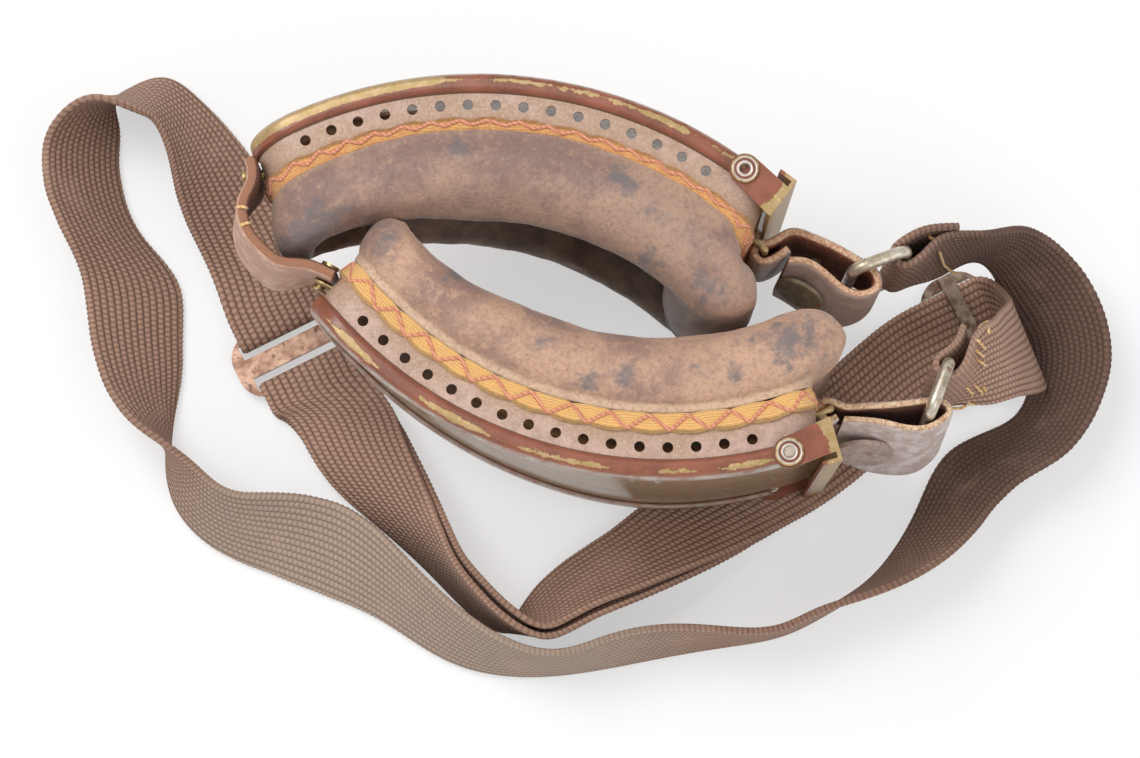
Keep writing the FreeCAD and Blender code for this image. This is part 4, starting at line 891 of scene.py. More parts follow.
def layer(sign):
    """One of the two layers of the doubled run."""
    middles = [(np.array(low) + np.array(high)) / 2.0 for low, high, apart in DOUBLED_ROUTE]
    moved = []
    for i, (low, high, apart) in enumerate(DOUBLED_ROUTE):
        low, high = np.array(low), np.array(high)
        ahead = middles[min(i + 1, len(middles) - 1)] - middles[max(i - 1, 0)]
        shift = unit(np.cross(high - low, ahead)) * (sign * apart / 2.0)
        moved.append((tuple(low + shift), tuple(high + shift)))
    return moved


def doubled_stations():
    stations = [at_slider("b", -q, z) for q, z in BAR_WRAP] + [at_slider("b", -10.0, 0.82)]
    stations += layer(-1.0)[::-1]
    stations += [at_slider("a", q, z) for q, z in [(9.4, 3.8)] + BAR_WRAP + [(9.4, 0.8)]]
    stations += layer(1.0)
    return stations + [at_slider("b", q, z) for q, z in DOUBLED_END_B]


def short_stations():
    stations = [at_slider("b", q, z)[::-1] for q, z in SHORT_AT_B] + SHORT_ROUTE
    stations += ring_wrap("left", RING_WIRE_R + 0.4 + DOUBLED_THICK / 2.0, (230, 190, 140, 90, 50))
    return stations + [((73.4, -5.2, 22.6), (71.9, 1.6, 40.6)), ((77.6, -4.9, 20.6), (73.9, 5.5, 36.4))]


# Tabs: top edge, low edge and the low edge's height
RIGHT_TAB_TOP_Z = 41.1
RIGHT_TAB = [
    ((41.5, 22.3), (41.5, 22.0), 21.0),
    ((45.0, 21.5), (45.0, 20.7), 21.0),
    ((48.5, 20.0), (48.5, 18.8), 21.0),
    ((52.0, 18.1), (52.1, 16.8), 21.0),
    ((55.0, 16.3), (55.3, 15.4), 21.0),
    ((57.1, 14.5), (57.5, 14.0), 20.5),
    ((57.6, 12.4), (57.6, 11.9), 19.5),
    ((56.3, 11.0), (56.0, 9.8), 18.5),
    ((53.9, 10.6), (53.4, 8.6), 17.5),
    ((51.2, 11.6), (50.5, 8.4), 17.0),
    ((48.6, 13.8), (47.5, 9.6), 17.0),
    ((46.0, 16.0), (44.8, 11.2), 17.0),
    ((43.4, 17.0), (42.0, 13.0), 17.5),
    ((41.0, 17.0), (39.2, 14.4), 18.5),
]
LEFT_TAB_TOP_Z = 43.6
LEFT_TAB = [
    ((50.5, -10.9), (50.5, -11.2), 24.0),
    ((54.4, -11.0), (54.3, -11.6), 24.0),
    ((58.7, -10.8), (58.4, -12.2), 24.0),
    ((63.0, -10.3), (62.5, -13.0), 24.0),
    ((67.0, -9.9), (66.5, -13.8), 24.0),
    ((69.6, -10.3), (69.0, -14.8), 23.5),
    ((70.4, -11.7), (69.7, -16.6), 22.5),
    ((69.2, -13.2), (68.4, -18.6), 21.5),
    ((66.2, -14.8), (65.2, -20.6), 20.5),
    ((62.4, -14.8), (61.2, -20.8), 20.0),
    ((58.4, -13.9), (57.2, -20.2), 20.0),
    ((54.4, -13.4), (53.2, -18.6), 20.5),
    ((50.8, -13.3), (49.6, -16.6), 21.5),
]
LOOP_R = 75.2
LOOP_STAND_OFF = 3.3
TAB_WRAP_R = 1.75
WALL_OUT = -1.0
WALL_THICK = 0.7


def loop_rod(side):
    """Middle of the wall loop's rod, in the strips' own millimetres."""
    wall = curved(TEMPLE_S + WALL_OUT, 0.0, LOOP_R)
    angle = math.atan2(wall[0], wall[1])
    rod = wall + np.array([math.cos(angle), -math.sin(angle), 0.0]) * LOOP_STAND_OFF
    return lay(side, rod) - LAYOUT_SHIFT


def right_tab_stations():
    low_z = 21.0
    stations = [((40.9, 19.2, low_z), (40.9, 19.2, RIGHT_TAB_TOP_Z))]
    for x, y in arc_points(loop_rod("right"), TAB_WRAP_R, (-60, -105, -150, 165, 120, 75)):
        stations.append(((x, y, low_z), (x, y, RIGHT_TAB_TOP_Z)))
    return stations + [((low[0], low[1], z), (top[0], top[1], RIGHT_TAB_TOP_Z)) for top, low, z in RIGHT_TAB]


def left_tab_stations():
    stations = []
    for x, y in arc_points(loop_rod("left"), TAB_WRAP_R, (-40, -90, -140, 170, 120)):
        stations.append(((x, y, 24.0), (x, y, LEFT_TAB_TOP_Z)))
    return stations + [((low[0], low[1], z), (top[0], top[1], LEFT_TAB_TOP_Z)) for top, low, z in LEFT_TAB]


# Nose leather: top edge and low edge, at fixed heights
BRIDGE_LOW_Z = 40.5
BRIDGE_TOP_Z = 57.0
BRIDGE_ROUTE = [
    ((-58.9, 33.4), (-58.9, 33.4)),
    ((-58.3, 31.4), (-58.3, 31.4)),
    ((-58.3, 29.6), (-58.3, 29.6)),
    ((-59.1, 27.4), (-59.8, 27.3)),
    ((-60.0, 24.8), (-61.8, 24.5)),
    ((-59.8, 22.0), (-62.1, 21.0)),
    ((-58.6, 19.2), (-61.0, 17.4)),
    ((-56.4, 16.7), (-58.4, 14.3)),
    ((-53.5, 14.4), (-54.9, 12.0)),
    ((-50.2, 13.8), (-50.6, 12.6)),
    ((-47.5, 13.35), (-47.5, 13.35)),
    ((-45.0, 12.4), (-45.0, 12.4)),
    ((-43.3, 11.55), (-43.3, 11.55)),
]

# Profiles, as distance out of the wall and radius from the eye side
RIM_PIECES = [
    ((-3.4, 79.9), (-0.9, 79.9)),
    ((-0.9, 79.9), (-0.26, 80.25), (0.0, 81.1)),
    ((0.0, 81.1), (0.0, 82.3)),
    ((0.0, 82.3), (-0.36, 83.22), (-1.2, 83.6)),
    ((-1.2, 83.6), (-3.4, 83.6)),
    ((-3.4, 83.6), (-3.4, 82.95)),
    ((-3.4, 82.95), (-1.5, 82.95)),
    ((-1.5, 82.95), (-1.5, 80.85)),
    ((-1.5, 80.85), (-3.4, 80.85)),
    ((-3.4, 80.85), (-3.4, 79.9)),
]
RIM_STEPS = [3, 5, 2, 5, 3, 2, 2, 2, 2, 2]
SEAM_A = -2.6
NOSE_CORNER_WIDTH = 0.4
CUSHION_BACK_R = 56.3
SEWN_R = 69.6
SIDE_BULGE = 1.0
NOSE_BULGE = 0.0
TEMPLE_BULGE = 6.0
BOTTOM_BULGE = 1.9
CUSHION_STEPS = [1, 2, 5, 5, 6, 6, 5]
LINING_CORNERS = [(-2.7, 71.35), (-9.25, 70.98), (-11.62, 67.5), (-12.42, 64.1),
                  (-12.95, 64.1), (-12.28, 67.3), (-9.6, 71.5), (-2.7, 71.9)]
LINING_STEPS = [3, 2, 2, 1, 2, 2, 3, 1]
TAPE_CORNERS = [(-0.35, 75.3), (-0.95, 75.3), (-0.95, 74.1), (-2.25, 71.35), (-1.2, 71.35)]
TAPE_STEPS = [1, 2, 4, 1, 6]


def closed(corners):
    """Straight pieces from each corner of a profile to the next, and back to the first."""
    return list(zip(corners, corners[1:] + corners[:1]))


def width_at(place):
    """How wide the roll is there: it narrows round the corner by the nose."""
    kind, number, share = place
    if number > 1 or (kind == "corner" and number == 1):
        return 1.0
    if kind == "corner":
        return NOSE_CORNER_WIDTH
    far = 1.0 - (share - 0.55) / 0.45 if number == 0 else share / 0.5
    return NOSE_CORNER_WIDTH + (1.0 - NOSE_CORNER_WIDTH) * float(smooth_step(0.0, 1.0, far))


def drawn_in(point, width):
    a, r = point
    return (SEAM_A + (a - SEAM_A) * width, r) if a < SEAM_A else (a, r)


def overhang(side, place):
    """How far the roll leans over its tape: only the right one does, along its top."""
    kind, number, share = place
    if side == "left" or (number, kind) not in ((0, "side"), (0, "corner"), (3, "corner")):
        return 0.0
    if number == 3:
        return float(smooth_step(0.2, 1.0, share))
    if kind == "corner":
        return 0.75 * (1.0 - float(smooth_step(0.1, 0.9, share)))
    return 1.0 - 0.25 * float(smooth_step(0.7, 1.0, share))


def cushion_profile(place, over):
    kind, number, share = place
    bulges = [SIDE_BULGE, NOSE_BULGE, BOTTOM_BULGE, TEMPLE_BULGE]
    bulge = bulges[number]
    if kind == "corner":
        after = bulges[(number + 1) % 4]
        low_share = share if after < bulge else 1.0 - share
        bulge = min(bulge, after) + abs(after - bulge) * (1.0 - low_share) ** 2
    more = bulge - SIDE_BULGE
    width = width_at(place)
    flat = 1.0 - width
    seam = (SEAM_A, 71.0)
    lip = (-0.98 + 0.1 * over, 71.8 + 0.25 * over)
    skirt = (-0.88 + 0.50 * over, 69.9 + 3.5 * over)
    rise = (0.32 + 0.75 * more + 0.55 * over, 68.2 + 2.6 * over)
    side = (bulge + 0.3 * over, 64.45)
    fall = (-0.02 + 0.95 * more, 60.6 + 1.6 * flat)
    shoulder = drawn_in((-4.0 + 0.6 * more, 57.2 + 4.4 * flat), width)
    crown = drawn_in((-6.5 + 0.4 * more, CUSHION_BACK_R + 5.1 * flat), width)
    turn = drawn_in((-10.5, 58.2 + 4.3 * flat), width)
    inside = drawn_in((-12.0, 64.0), width)
    front = drawn_in((-9.0, 70.6), width)
    return outline_of([(seam, lip), (lip, skirt), (skirt, rise, side), (side, fall, shoulder),
                       (shoulder, crown, turn), (turn, inside, front), (front, seam)], CUSHION_STEPS)


def sweep_piece(name, side, places, profile_at, material, ring=True):
    """Piece whose profile runs along the outline of one eyepiece, all the way round or not."""
    grid = swept(places, profile_at)
    run = along(grid)
    profile = np.array(profile_at(places[0]))
    around = np.concatenate([[0.0], np.cumsum(np.linalg.norm(np.diff(profile, axis=0), axis=1))])
    mesh = make_mesh(name, lay(side, grid), run, around, close_rows=ring, caps=not ring)
    return make_piece(name, mesh, material), grid


def settle(piece, body, *nodes):
    """Makes a piece move with its body and stand for the frame's nodes."""
    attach(piece, body)
    if nodes:
        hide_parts(*nodes)


def body_of(side):
    return side + "_eyepiece"


# Padded rolls: thin light skin over a soft filling, which presses it out a little
ROLL_CLOTH = {
    "quality": 6,
    "mass": 0.0008,
    "tension_stiffness": 4.0,
    "compression_stiffness": 1.5,
    "shear_stiffness": 1.5,
    "bending_stiffness": 0.0002,
    "air_damping": 2.0,
    "vertex_group_mass": "sewn",
    "shrink_min": -0.035,
    "use_pressure": True,
    "uniform_pressure_force": 6.0,
}
PUFF_STEPS = 16


def puff(piece, held, cap):
    """Blows the roll up a little as cloth, with the sewn front held, and keeps the creases it makes."""
    mesh = piece.data
    rest = np.array([v.co[:] for v in mesh.vertices])
    group = piece.vertex_groups.new(name="sewn")
    group.add([int(i) for i in held], 1.0, "REPLACE")
    cloth = piece.modifiers.new("roll", "CLOTH")
    for name, value in ROLL_CLOTH.items():
        setattr(cloth.settings, name, value)
    cloth.settings.effector_weights.gravity = 0.0
    scene = bpy.context.scene
    for step in range(1, PUFF_STEPS + 1):
        scene.frame_set(step)
    seen = piece.evaluated_get(bpy.context.evaluated_depsgraph_get())
    moved = np.array([v.co[:] for v in seen.data.vertices]) - rest
    piece.modifiers.remove(cloth)
    scene.frame_set(1)
    reach = np.linalg.norm(moved, axis=1, keepdims=True)
    moved *= np.minimum(1.0, cap * MM / np.maximum(reach, 1e-9))
    mesh.vertices.foreach_set("co", (rest + moved).ravel())
    mesh.update()
    piece.vertex_groups.clear()


def finer(piece):
    """One level of smooth subdivision, kept in the mesh."""
    modifier = piece.modifiers.new("finer", "SUBSURF")
    modifier.levels = modifier.render_levels = 1
    seen = piece.evaluated_get(bpy.context.evaluated_depsgraph_get())
    mesh = bpy.data.meshes.new_from_object(seen)
    piece.modifiers.remove(modifier)
    piece.data = mesh
    mesh.shade_smooth()


def crease(piece, depth, seed):
    """Fine wrinkles across the roll, deepest on its drawn-in sides."""
    mesh = piece.data
    points = np.array([v.co[:] for v in mesh.vertices])
    normals = np.array([v.normal[:] for v in mesh.vertices])
    lift = np.empty(len(points))
    for i, p in enumerate(points / MM):
        where = Vector((p[0] * 0.34, p[1] * 0.34, p[2] * 0.30 + seed))
        soft = noise.fractal(where * 0.35, 1.0, 2.0, 3)
        ridge = 1.0 - abs(noise.noise(where * 1.6)) * 2.0
        lift[i] = 0.9 * soft - 0.55 * max(ridge - 0.55, 0.0) ** 1.5
    points += normals * (lift * depth * MM)[:, None]
    mesh.vertices.foreach_set("co", points.ravel())
    mesh.update()


def keep_out(piece, other, gap):
    """Moves the points of a piece that are pressed into another one back to its surface."""
    seen = other.data
    tree = BVHTree.FromPolygons([v.co[:] for v in seen.vertices], [p.vertices[:] for p in seen.polygons])
    for vertex in piece.data.vertices:
        spot, normal = tree.find_nearest(vertex.co, 8.0 * MM)[:2]
        if spot is not None and (vertex.co - spot).dot(normal) < gap * MM:
            vertex.co = spot + normal * gap * MM
    piece.data.update()


def stay_above(piece, height):
    for vertex in piece.data.vertices:
        vertex.co.z = max(vertex.co.z, height * MM)
    piece.data.update()


def tint(name, description, code):
    return bpy.props.FloatVectorProperty(name=name, description=description, subtype="COLOR", size=3,
                                         min=0.0, max=1.0, default=colour(code)[:3])


def length(name, description, default, least):
    """A length that a user can change, given here in millimetres."""
    return bpy.props.FloatProperty(name=name, description=description, unit="LENGTH",
                                   default=default * MM, min=least * MM)


class GoggleLooks(bpy.types.PropertyGroup):
    """Colours of the goggles"""

    lacquer: tint("Lacquer", "Red-brown lacquer on the rims", "#91523c")
    brass: tint("Brass", "Brass where the lacquer is worn through", "#b3956c")
    wall: tint("Wall", "Pinkish lacquer on the walls", "#c4a496")
    leather_light: tint("Leather, light", "Rubbed places of the cushions", "#c39c83")
    leather_dark: tint("Leather, dark", "Darker places of the cushions", "#98776a")
    webbing: tint("Webbing", "Crests of the strap's weave", "#bd9883")
    glass: tint("Glass", "Tint of the glass", "#c9ab84")


class GoggleSizes(bpy.types.PropertyGroup):
    """Sizes of the goggles' details"""

    vent_width: length("Vent width", "Diameter of a vent hole", 2.0, 0.5)
    zigzag_pitch: length("Zigzag pitch", "Length of one zigzag of the tape's stitching", 7.3, 2.0)
    thread_width: length("Thread width", "Diameter of the sewing thread", 0.72, 0.2)
    rib: length("Webbing rib", "Distance between the ribs of the webbing", 1.45, 0.3)
    crease_depth: length("Crease depth", "Depth of the creases in the cushions", 0.28, 0.0)


def looks():
    return bpy.context.scene.goggle_looks


def sizes():
    return bpy.context.scene.goggle_sizes


def old_brass():
    return made_once("brass", lambda: make_metal("old_brass", "#bfa878", "#8f7a54", "#5e4a38"))


def cream_thread():
    return made_once("cream_thread", lambda: make_thread("cream_thread", "#f0cc92", "#cf9f60"))


# Rims
def rim_places():
    """From the temple end of the top, over the nose, to the temple end of the bottom: the latch takes over."""
    places = [p for p in places_round(1.1) if p[1] < 2 or (p[:2] == ("side", 2) and p[2] < 0.95)]
    return places + [("side", 2, 0.96)]


class GOGGLES_OT_rims(bpy.types.Operator):
    """Rolled rims that hold the glass, lacquered and worn to the brass"""

    bl_idname = "goggles.rims"
    bl_label = "Rims"

    def execute(self, context):
        lacquer = make_worn_lacquer(looks(), "worn_lacquer")
        profile = outline_of(RIM_PIECES, RIM_STEPS)
        a, r = np.array(profile).T
        crest = smooth_step(-0.9, -0.1, a)
        # Where the rim's front face takes its painted pale grey reflection
        front = smooth_step(82.9, 83.45, r)
        # Painted shade in the groove on the rim's side towards the wall
        groove_shade = smooth_step(80.25, 79.95, r)
        for side, seed in (("right", 9.0), ("left", 3.0)):
            piece, grid = sweep_piece(side + "_rim", side, rim_places(), lambda place: profile, lacquer,
                                      ring=False)
            s = np.degrees(np.arctan2(grid[..., 0].mean(axis=1), grid[..., 1].mean(axis=1)))[:, None]
            patchy = np.array([noise.noise(Vector((x * 0.13, seed, 0.0))) for x in s[:, 0]])
            band = np.exp(-((r - 82.15) / 0.85) ** 2)[None, :] * (0.50 + 0.45 * patchy[:, None])
            if side == "right":
                outer = smooth_step(81.2, 81.9, r)[None, :] * smooth_step(-2.0, -16.0, s)
                band = np.maximum(band, outer * 0.95)
            else:
                band = np.maximum(band, smooth_step(-32.0, -39.0, s) * 0.75)
            wear = crest[None, :] * band
            if side == "left":
                wear = np.maximum(wear, smooth_step(-32.0, -37.0, s) * 0.76)
            mark(piece.data, "wear", wear)
            mark(piece.data, "front", np.broadcast_to(front, grid.shape[:2]))
            mark(piece.data, "groove_shade", np.broadcast_to(groove_shade, grid.shape[:2]))
            settle(piece, body_of(side), side + "_lens_rim")
        return {"FINISHED"}


# Walls
TOP_VENTS = 16
TOP_VENT_STEP_DEG = 3.78
LOWER_VENTS = 6
LOWER_VENT_S = 18.0
LOWER_VENT_STEP = 5.29
VENT_R = 77.7
VENT_INSET = 1.3
DRILL_LENGTH = 5.0 * MM


def vent_places(side):
    spots = []
    for number in range(TOP_VENTS):
        angle = math.radians((number - (TOP_VENTS - 1) / 2.0) * TOP_VENT_STEP_DEG)
        spots.append((VENT_R * math.sin(angle), VENT_R * math.cos(angle), TOP_Z - VENT_INSET))
    for number in range(LOWER_VENTS):
        spots.append(curved(LOWER_VENT_S + number * LOWER_VENT_STEP, BOTTOM_Z + VENT_INSET, VENT_R))
    return lay(side, np.array(spots))


WALL_PROFILE = [(WALL_OUT, 74.2), (WALL_OUT, 79.85),
                (WALL_OUT - WALL_THICK, 79.85), (WALL_OUT - WALL_THICK, 74.2)]
NOSE_LUG = [
    ((-42.5, 9.12, 45.0), (-42.5, 9.12, 53.0)),
    ((-44.0, 9.9, 45.0), (-44.0, 9.9, 53.0)),
    ((-45.6, 10.73, 45.0), (-45.6, 10.73, 53.0)),
    ((-47.1, 11.5, 45.6), (-47.1, 11.5, 52.4)),
]


class GOGGLES_OT_walls(bpy.types.Operator):
    """Sheet walls with their rows of vent holes, and the lug for the nose leather"""

    bl_idname = "goggles.walls"
    bl_label = "Walls"

    def execute(self, context):
        lacquer = make_wall_lacquer(looks())
        profile = outline_of(closed(WALL_PROFILE), [2, 1, 2, 1])
        tree, keys = vent_tree()
        for side in EYES:
            piece = sweep_piece(side + "_wall", side, places_round(1.6), lambda place: profile, lacquer)[0]
            spots = bpy.data.meshes.new("vent_places")
            spots.from_pydata((vent_places(side) * MM).tolist(), [], [])
            drawn = bpy.data.objects.new("vent_places", spots)
            context.scene.collection.objects.link(drawn)
            grown(piece, tree, {keys["places"]: drawn, keys["width"]: sizes().vent_width,
                                keys["depth"]: DRILL_LENGTH, keys["stuff"]: lacquer})
            bpy.data.objects.remove(drawn)
            piece.data.set_sharp_from_angle(angle=math.radians(40.0))
            centre = lay(side, np.zeros(3))
            spots = np.array([v.co[:] for v in piece.data.vertices]) / MM
            inward = smooth_step(78.0, 75.4, np.hypot(*(spots - centre)[:, :2].T))
            mark(piece.data, "sandy", inward + (0.5 if side == "right" else 0.0))
            settle(piece, body_of(side), side + "_vent_wall")
        strip = run_strip(NOSE_LUG, 0.4)
        grid, v = strip_grid(strip, WALL_THICK, 9, 0.9, 1.0, 0.0)[:2]
        piece = make_piece("nose_lug", make_mesh("nose_lug", grid, strip["run"], v, caps=True), old_brass())
        settle(piece, "left_eyepiece")
        return {"FINISHED"}


# Lenses
LENS_INSET = -1.75
LENS_R = (81.0, 82.8)
LENS_TEMPLE_S = 54.3
LENS_END_ROUND = 6.0


def lens_span(s):
    """Lowest and highest point of the glass at a place round the face."""
    low = BOTTOM_Z - LENS_INSET
    high = TOP_Z + LENS_INSET
    facing_s, facing_z = facing("nose")
    radius = CORNERS[0][2] + LENS_INSET
    nose_s, nose_z = corner_point(0, 0.0, LENS_INSET)
    nose_z -= radius
    cheek_r = CORNERS[1][2] + LENS_INSET
    cheek_s, cheek_z = corner_point(1, 1.0, LENS_INSET)
    cheek_z += cheek_r
    rise = math.sqrt(max(radius ** 2 - (s - nose_s) ** 2, 0.0))
    if s < nose_s:
        high = nose_z + rise
    if s < nose_s + radius * facing_s:
        low = nose_z - rise
    elif s < cheek_s + cheek_r * facing_s:
        low = (SIDES["nose"][1] + LENS_INSET - facing_s * s) / facing_z
    elif s < cheek_s:
        low = cheek_z - math.sqrt(cheek_r ** 2 - (s - cheek_s) ** 2)
    temple_s = TEMPLE_S - LENS_END_ROUND
    if s > temple_s:
        drop = (s - temple_s) ** 2 / 12.0 * 0.8
        low += drop
        high -= drop
    return low, high


class GOGGLES_OT_lenses(bpy.types.Operator):
    """Curved panes of glass in the rims"""

    bl_idname = "goggles.lenses"
    bl_label = "Lenses"

    def execute(self, context):
        glass = make_lens_glass(looks())
        nose_s = corner_point(0, 0.5, LENS_INSET)[0] + 0.35
        rows = []
        for s in nose_s + (LENS_TEMPLE_S - nose_s) * np.linspace(0.0, 1.0, 120) ** 1.15:
            angle = s / ((FRONT_R + LENS_R[1]) / 2.0)
            heights = np.linspace(*lens_span(s), 10)
            face = [(LENS_R[1] * math.sin(angle), LENS_R[1] * math.cos(angle), z) for z in heights]
            back = [(LENS_R[0] * math.sin(angle), LENS_R[0] * math.cos(angle), z) for z in heights[::-1]]
            rows.append(face + back)
        grid = np.array(rows)
        for side in EYES:
            mesh = make_mesh(side + "_glass", lay(side, grid), along(grid), np.arange(20.0), caps=True)
            piece = make_piece(side + "_glass", mesh, glass)
            settle(piece, body_of(side), side + "_lens")
        return {"FINISHED"}


# Cushions: dark blotches where the photograph shows them, as x, y and reach in its pixels, and strength
BLOTCHES = {
    "right": [(458, 149, 13, 0.9), (320, 224, 30, 0.8), (300, 242, 24, 0.9), (618, 178, 13, 0.9),
              (630, 190, 12, 0.8), (654, 214, 13, 0.7), (648, 264, 18, 0.8), (548, 205, 9, 0.5),
              (705, 292, 26, 0.6), (520, 152, 10, 0.5)],
    "left": [(735, 372, 9, 1.0), (590, 380, 13, 0.8), (626, 374, 16, 0.8), (457, 272, 14, 0.7),
             (548, 332, 16, 0.6), (790, 340, 34, 0.8), (752, 338, 18, 0.6), (385, 232, 24, 0.6),
             (700, 362, 12, 0.4)],
}


class GOGGLES_OT_cushions(bpy.types.Operator):
    """Padded leather rolls that rest on the face"""

    bl_idname = "goggles.cushions"
    bl_label = "Cushions"

    def execute(self, context):
        leather = make_cushion_leather(looks())
        places = places_round(2.0)
        rolls = {}
        for side in EYES:
            piece, grid = sweep_piece(side + "_roll", side, places,
                                      lambda place: cushion_profile(place, overhang(side, place)), leather)
            columns = grid.shape[1]
            r = np.linalg.norm(grid[..., :2], axis=-1)
            puff(piece, np.nonzero((r > SEWN_R).ravel())[0], 0.7)
            mesh = piece.data
            nose = np.array([smooth_step(-34.0, -56.0, row[:, 0].mean()) for row in grid])
            depth = smooth_step(60.0, 69.0, r)
            inner = np.zeros(columns)
            inner[sum(CUSHION_STEPS[:4]) + 3:] = 1.0
            seam = np.zeros(columns)
            seam[:5] = (1.0, 1.0, 0.8, 0.75, 0.15)
            over = np.array([overhang(side, place) for place in places])
            mark(mesh, "seam_side", seam[None, :] * (1.0 - 0.7 * over[:, None]))
            seen = in_photo(lay(side, grid))
            stain = 0.45 * nose[:, None] * (1.0 - 0.4 * depth)
            for x, y, reach, strength in BLOTCHES[side]:
                far = np.hypot(seen[..., 0] - x, seen[..., 1] - y) / reach
                stain = np.maximum(stain, strength * np.exp(-far ** 2))
            mark(mesh, "stain", stain)
            mark(mesh, "rubbed", np.broadcast_to(smooth_step(0.0, 40.0, grid[..., 0]), grid.shape[:2]))
            # Khaki brown low on the roll, near the table, and painted shade on the roll's inner face
            low = smooth_step(24.0, 10.0, grid[..., 2])
            mark(mesh, "khaki_and_shade", np.maximum(low * (0.9 if side == "right" else 0.5), 0.7 * inner[None, :]))
            mark(mesh, "cool", np.full(grid.shape[:2], 0.30 if side == "right" else 0.0))
            mark(mesh, "shade", np.clip(0.75 * nose[:, None] * inner, 0.0, 1.0))
            finer(piece)
            crease(piece, sizes().crease_depth / MM, 4.0 if side == "left" else 0.0)
            rolls[side] = piece
        keep_out(rolls["left"], rolls["right"], 0.35)
        stay_above(rolls["right"], 0.0)
        for side, piece in rolls.items():
            settle(piece, body_of(side), side + "_cushion")
        return {"FINISHED"}


class GOGGLES_OT_linings(bpy.types.Operator):
    """Dark cloth linings inside the cushions"""

    bl_idname = "goggles.linings"
    bl_label = "Linings"

    def execute(self, context):
        cloth = make_weave("lining_cloth", "#6a563f", "#2e241c", 0.8, 0.8, 0.1)
        points = outline_of(closed(LINING_CORNERS), LINING_STEPS)

        def profile(place):
            return [drawn_in(point, width_at(place)) for point in points]

        for side in EYES:
            piece = sweep_piece(side + "_lining", side, places_round(1.6), profile, cloth)[0]
            settle(piece, body_of(side), side + "_cushion_lining")
        return {"FINISHED"}


# Tapes and their stitching
def tape_profile(run, pitch):
    """The tape's section, its back edge drawn in at each stitch."""
    turn = math.pi * run / pitch
    near, far = 0.32 * abs(math.cos(turn)), 0.5 * abs(math.sin(turn))
    ragged = 0.25 * noise.noise(Vector((run * 0.9, 4.0, 0.0)))
    corners = [(a, r - 0.45 + far + ragged if r > 75.0 else r + 0.3 - near if r < 72.0 else r)
               for a, r in TAPE_CORNERS]
    return outline_of(closed(corners), TAPE_STEPS)


class GOGGLES_OT_tapes(bpy.types.Operator):
    """Woven tapes over the seams, sewn with a zigzag thread"""

    bl_idname = "goggles.tapes"
    bl_label = "Binding tapes"

    def execute(self, context):
        cloth = make_weave("tape_cloth", "#f0c98c", "#c98f4c", 0.52, 0.50, 0.09, 0.9, tape_stains)
        thread = make_thread("orange_thread", "#e09c7c", "#c47e60")
        places = places_round(0.7)
        pitch = sizes().zigzag_pitch / MM
        edge = swept(places, lambda place: [(-0.4, 73.4)])
        run = along(edge)
        pitch = run[-1] / round(run[-1] / pitch)
        at = dict(zip(places, run))
        inner = smooth_step(-1.3, -1.9, [a for a, r in tape_profile(0.0, 1.0)])
        for side in EYES:
            piece, grid = sweep_piece(side + "_tape", side, places,
                                      lambda place: tape_profile(at[place], pitch), cloth)
            settle(piece, body_of(side), side + "_binding_tape")
            mark(piece.data, "inner", np.broadcast_to(inner, grid.shape[:2]))
            mark(piece.data, "orange", np.full(grid.shape[:2], 0.75 if side == "right" else 0.0))
            line = []
            step = pitch * (0.36 if side == "right" else 0.5)
            turns = int(round(run[-1] / step / 2.0)) * 2
            step = run[-1] / turns
            for k in range(turns + 1):
                place = places[int(np.searchsorted(run[:-1], (k % turns) * step)) % len(places)]
                share = (1.0 - 0.62 * overhang(side, place)) * 0.93 if k % 2 else 0.10
                corner = ((-0.30 - 0.72 * share, 75.1 - 3.5 * share),)
                line.append(swept([place], lambda place: corner)[0, 0])
            between = []
            for here, ahead in zip(line, line[1:]):
                between += [here * 0.92 + ahead * 0.08, here * 0.08 + ahead * 0.92]
            route = lay(side, np.array(between + [between[0]]))
            piece = sew(side + "_zigzag", [route], sizes().thread_width / MM, 0.5, thread)
            settle(piece, body_of(side))
        return {"FINISHED"}


# Metal pieces carried over from the frame
def dress(node, material, bevel, smooth_deg=35.0):
    """Gives a node of the frame its material, smooth shading and, in millimetres, broken edges."""
    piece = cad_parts[node]
    piece.data.materials.clear()
    piece.data.materials.append(material)
    piece.data.shade_smooth()
    piece.data.set_sharp_from_angle(angle=math.radians(smooth_deg))
    if bevel:
        modifier = piece.modifiers.new("edges", "BEVEL")
        modifier.width = bevel * MM
        modifier.segments = 2
        modifier.limit_method = "ANGLE"
        modifier.angle_limit = math.radians(38.0)


# Where the latches' eyelets stand
PIVOTS = {"right": (31.02, 29.94), "left": (38.54, -22.49)}


class GOGGLES_OT_latches(bpy.types.Operator):
    """Temple latches with their eyelets and the pin"""

    bl_idname = "goggles.latches"
    bl_label = "Temple latches"

    def execute(self, context):
        for side, pivot in PIVOTS.items():
            dress(side + "_temple_latch", make_worn_lacquer(looks(), side + "_latch_lacquer", pivot), 0.16)
            dress(side + "_latch_eyelets", make_eyelet(side + "_eyelet", pivot), 0.12)
        dress("left_latch_pin", make_metal("pin_metal", "#c6b8a8", "#a89a8a", "#8a6a58", 1.2), 0.3)
        return {"FINISHED"}


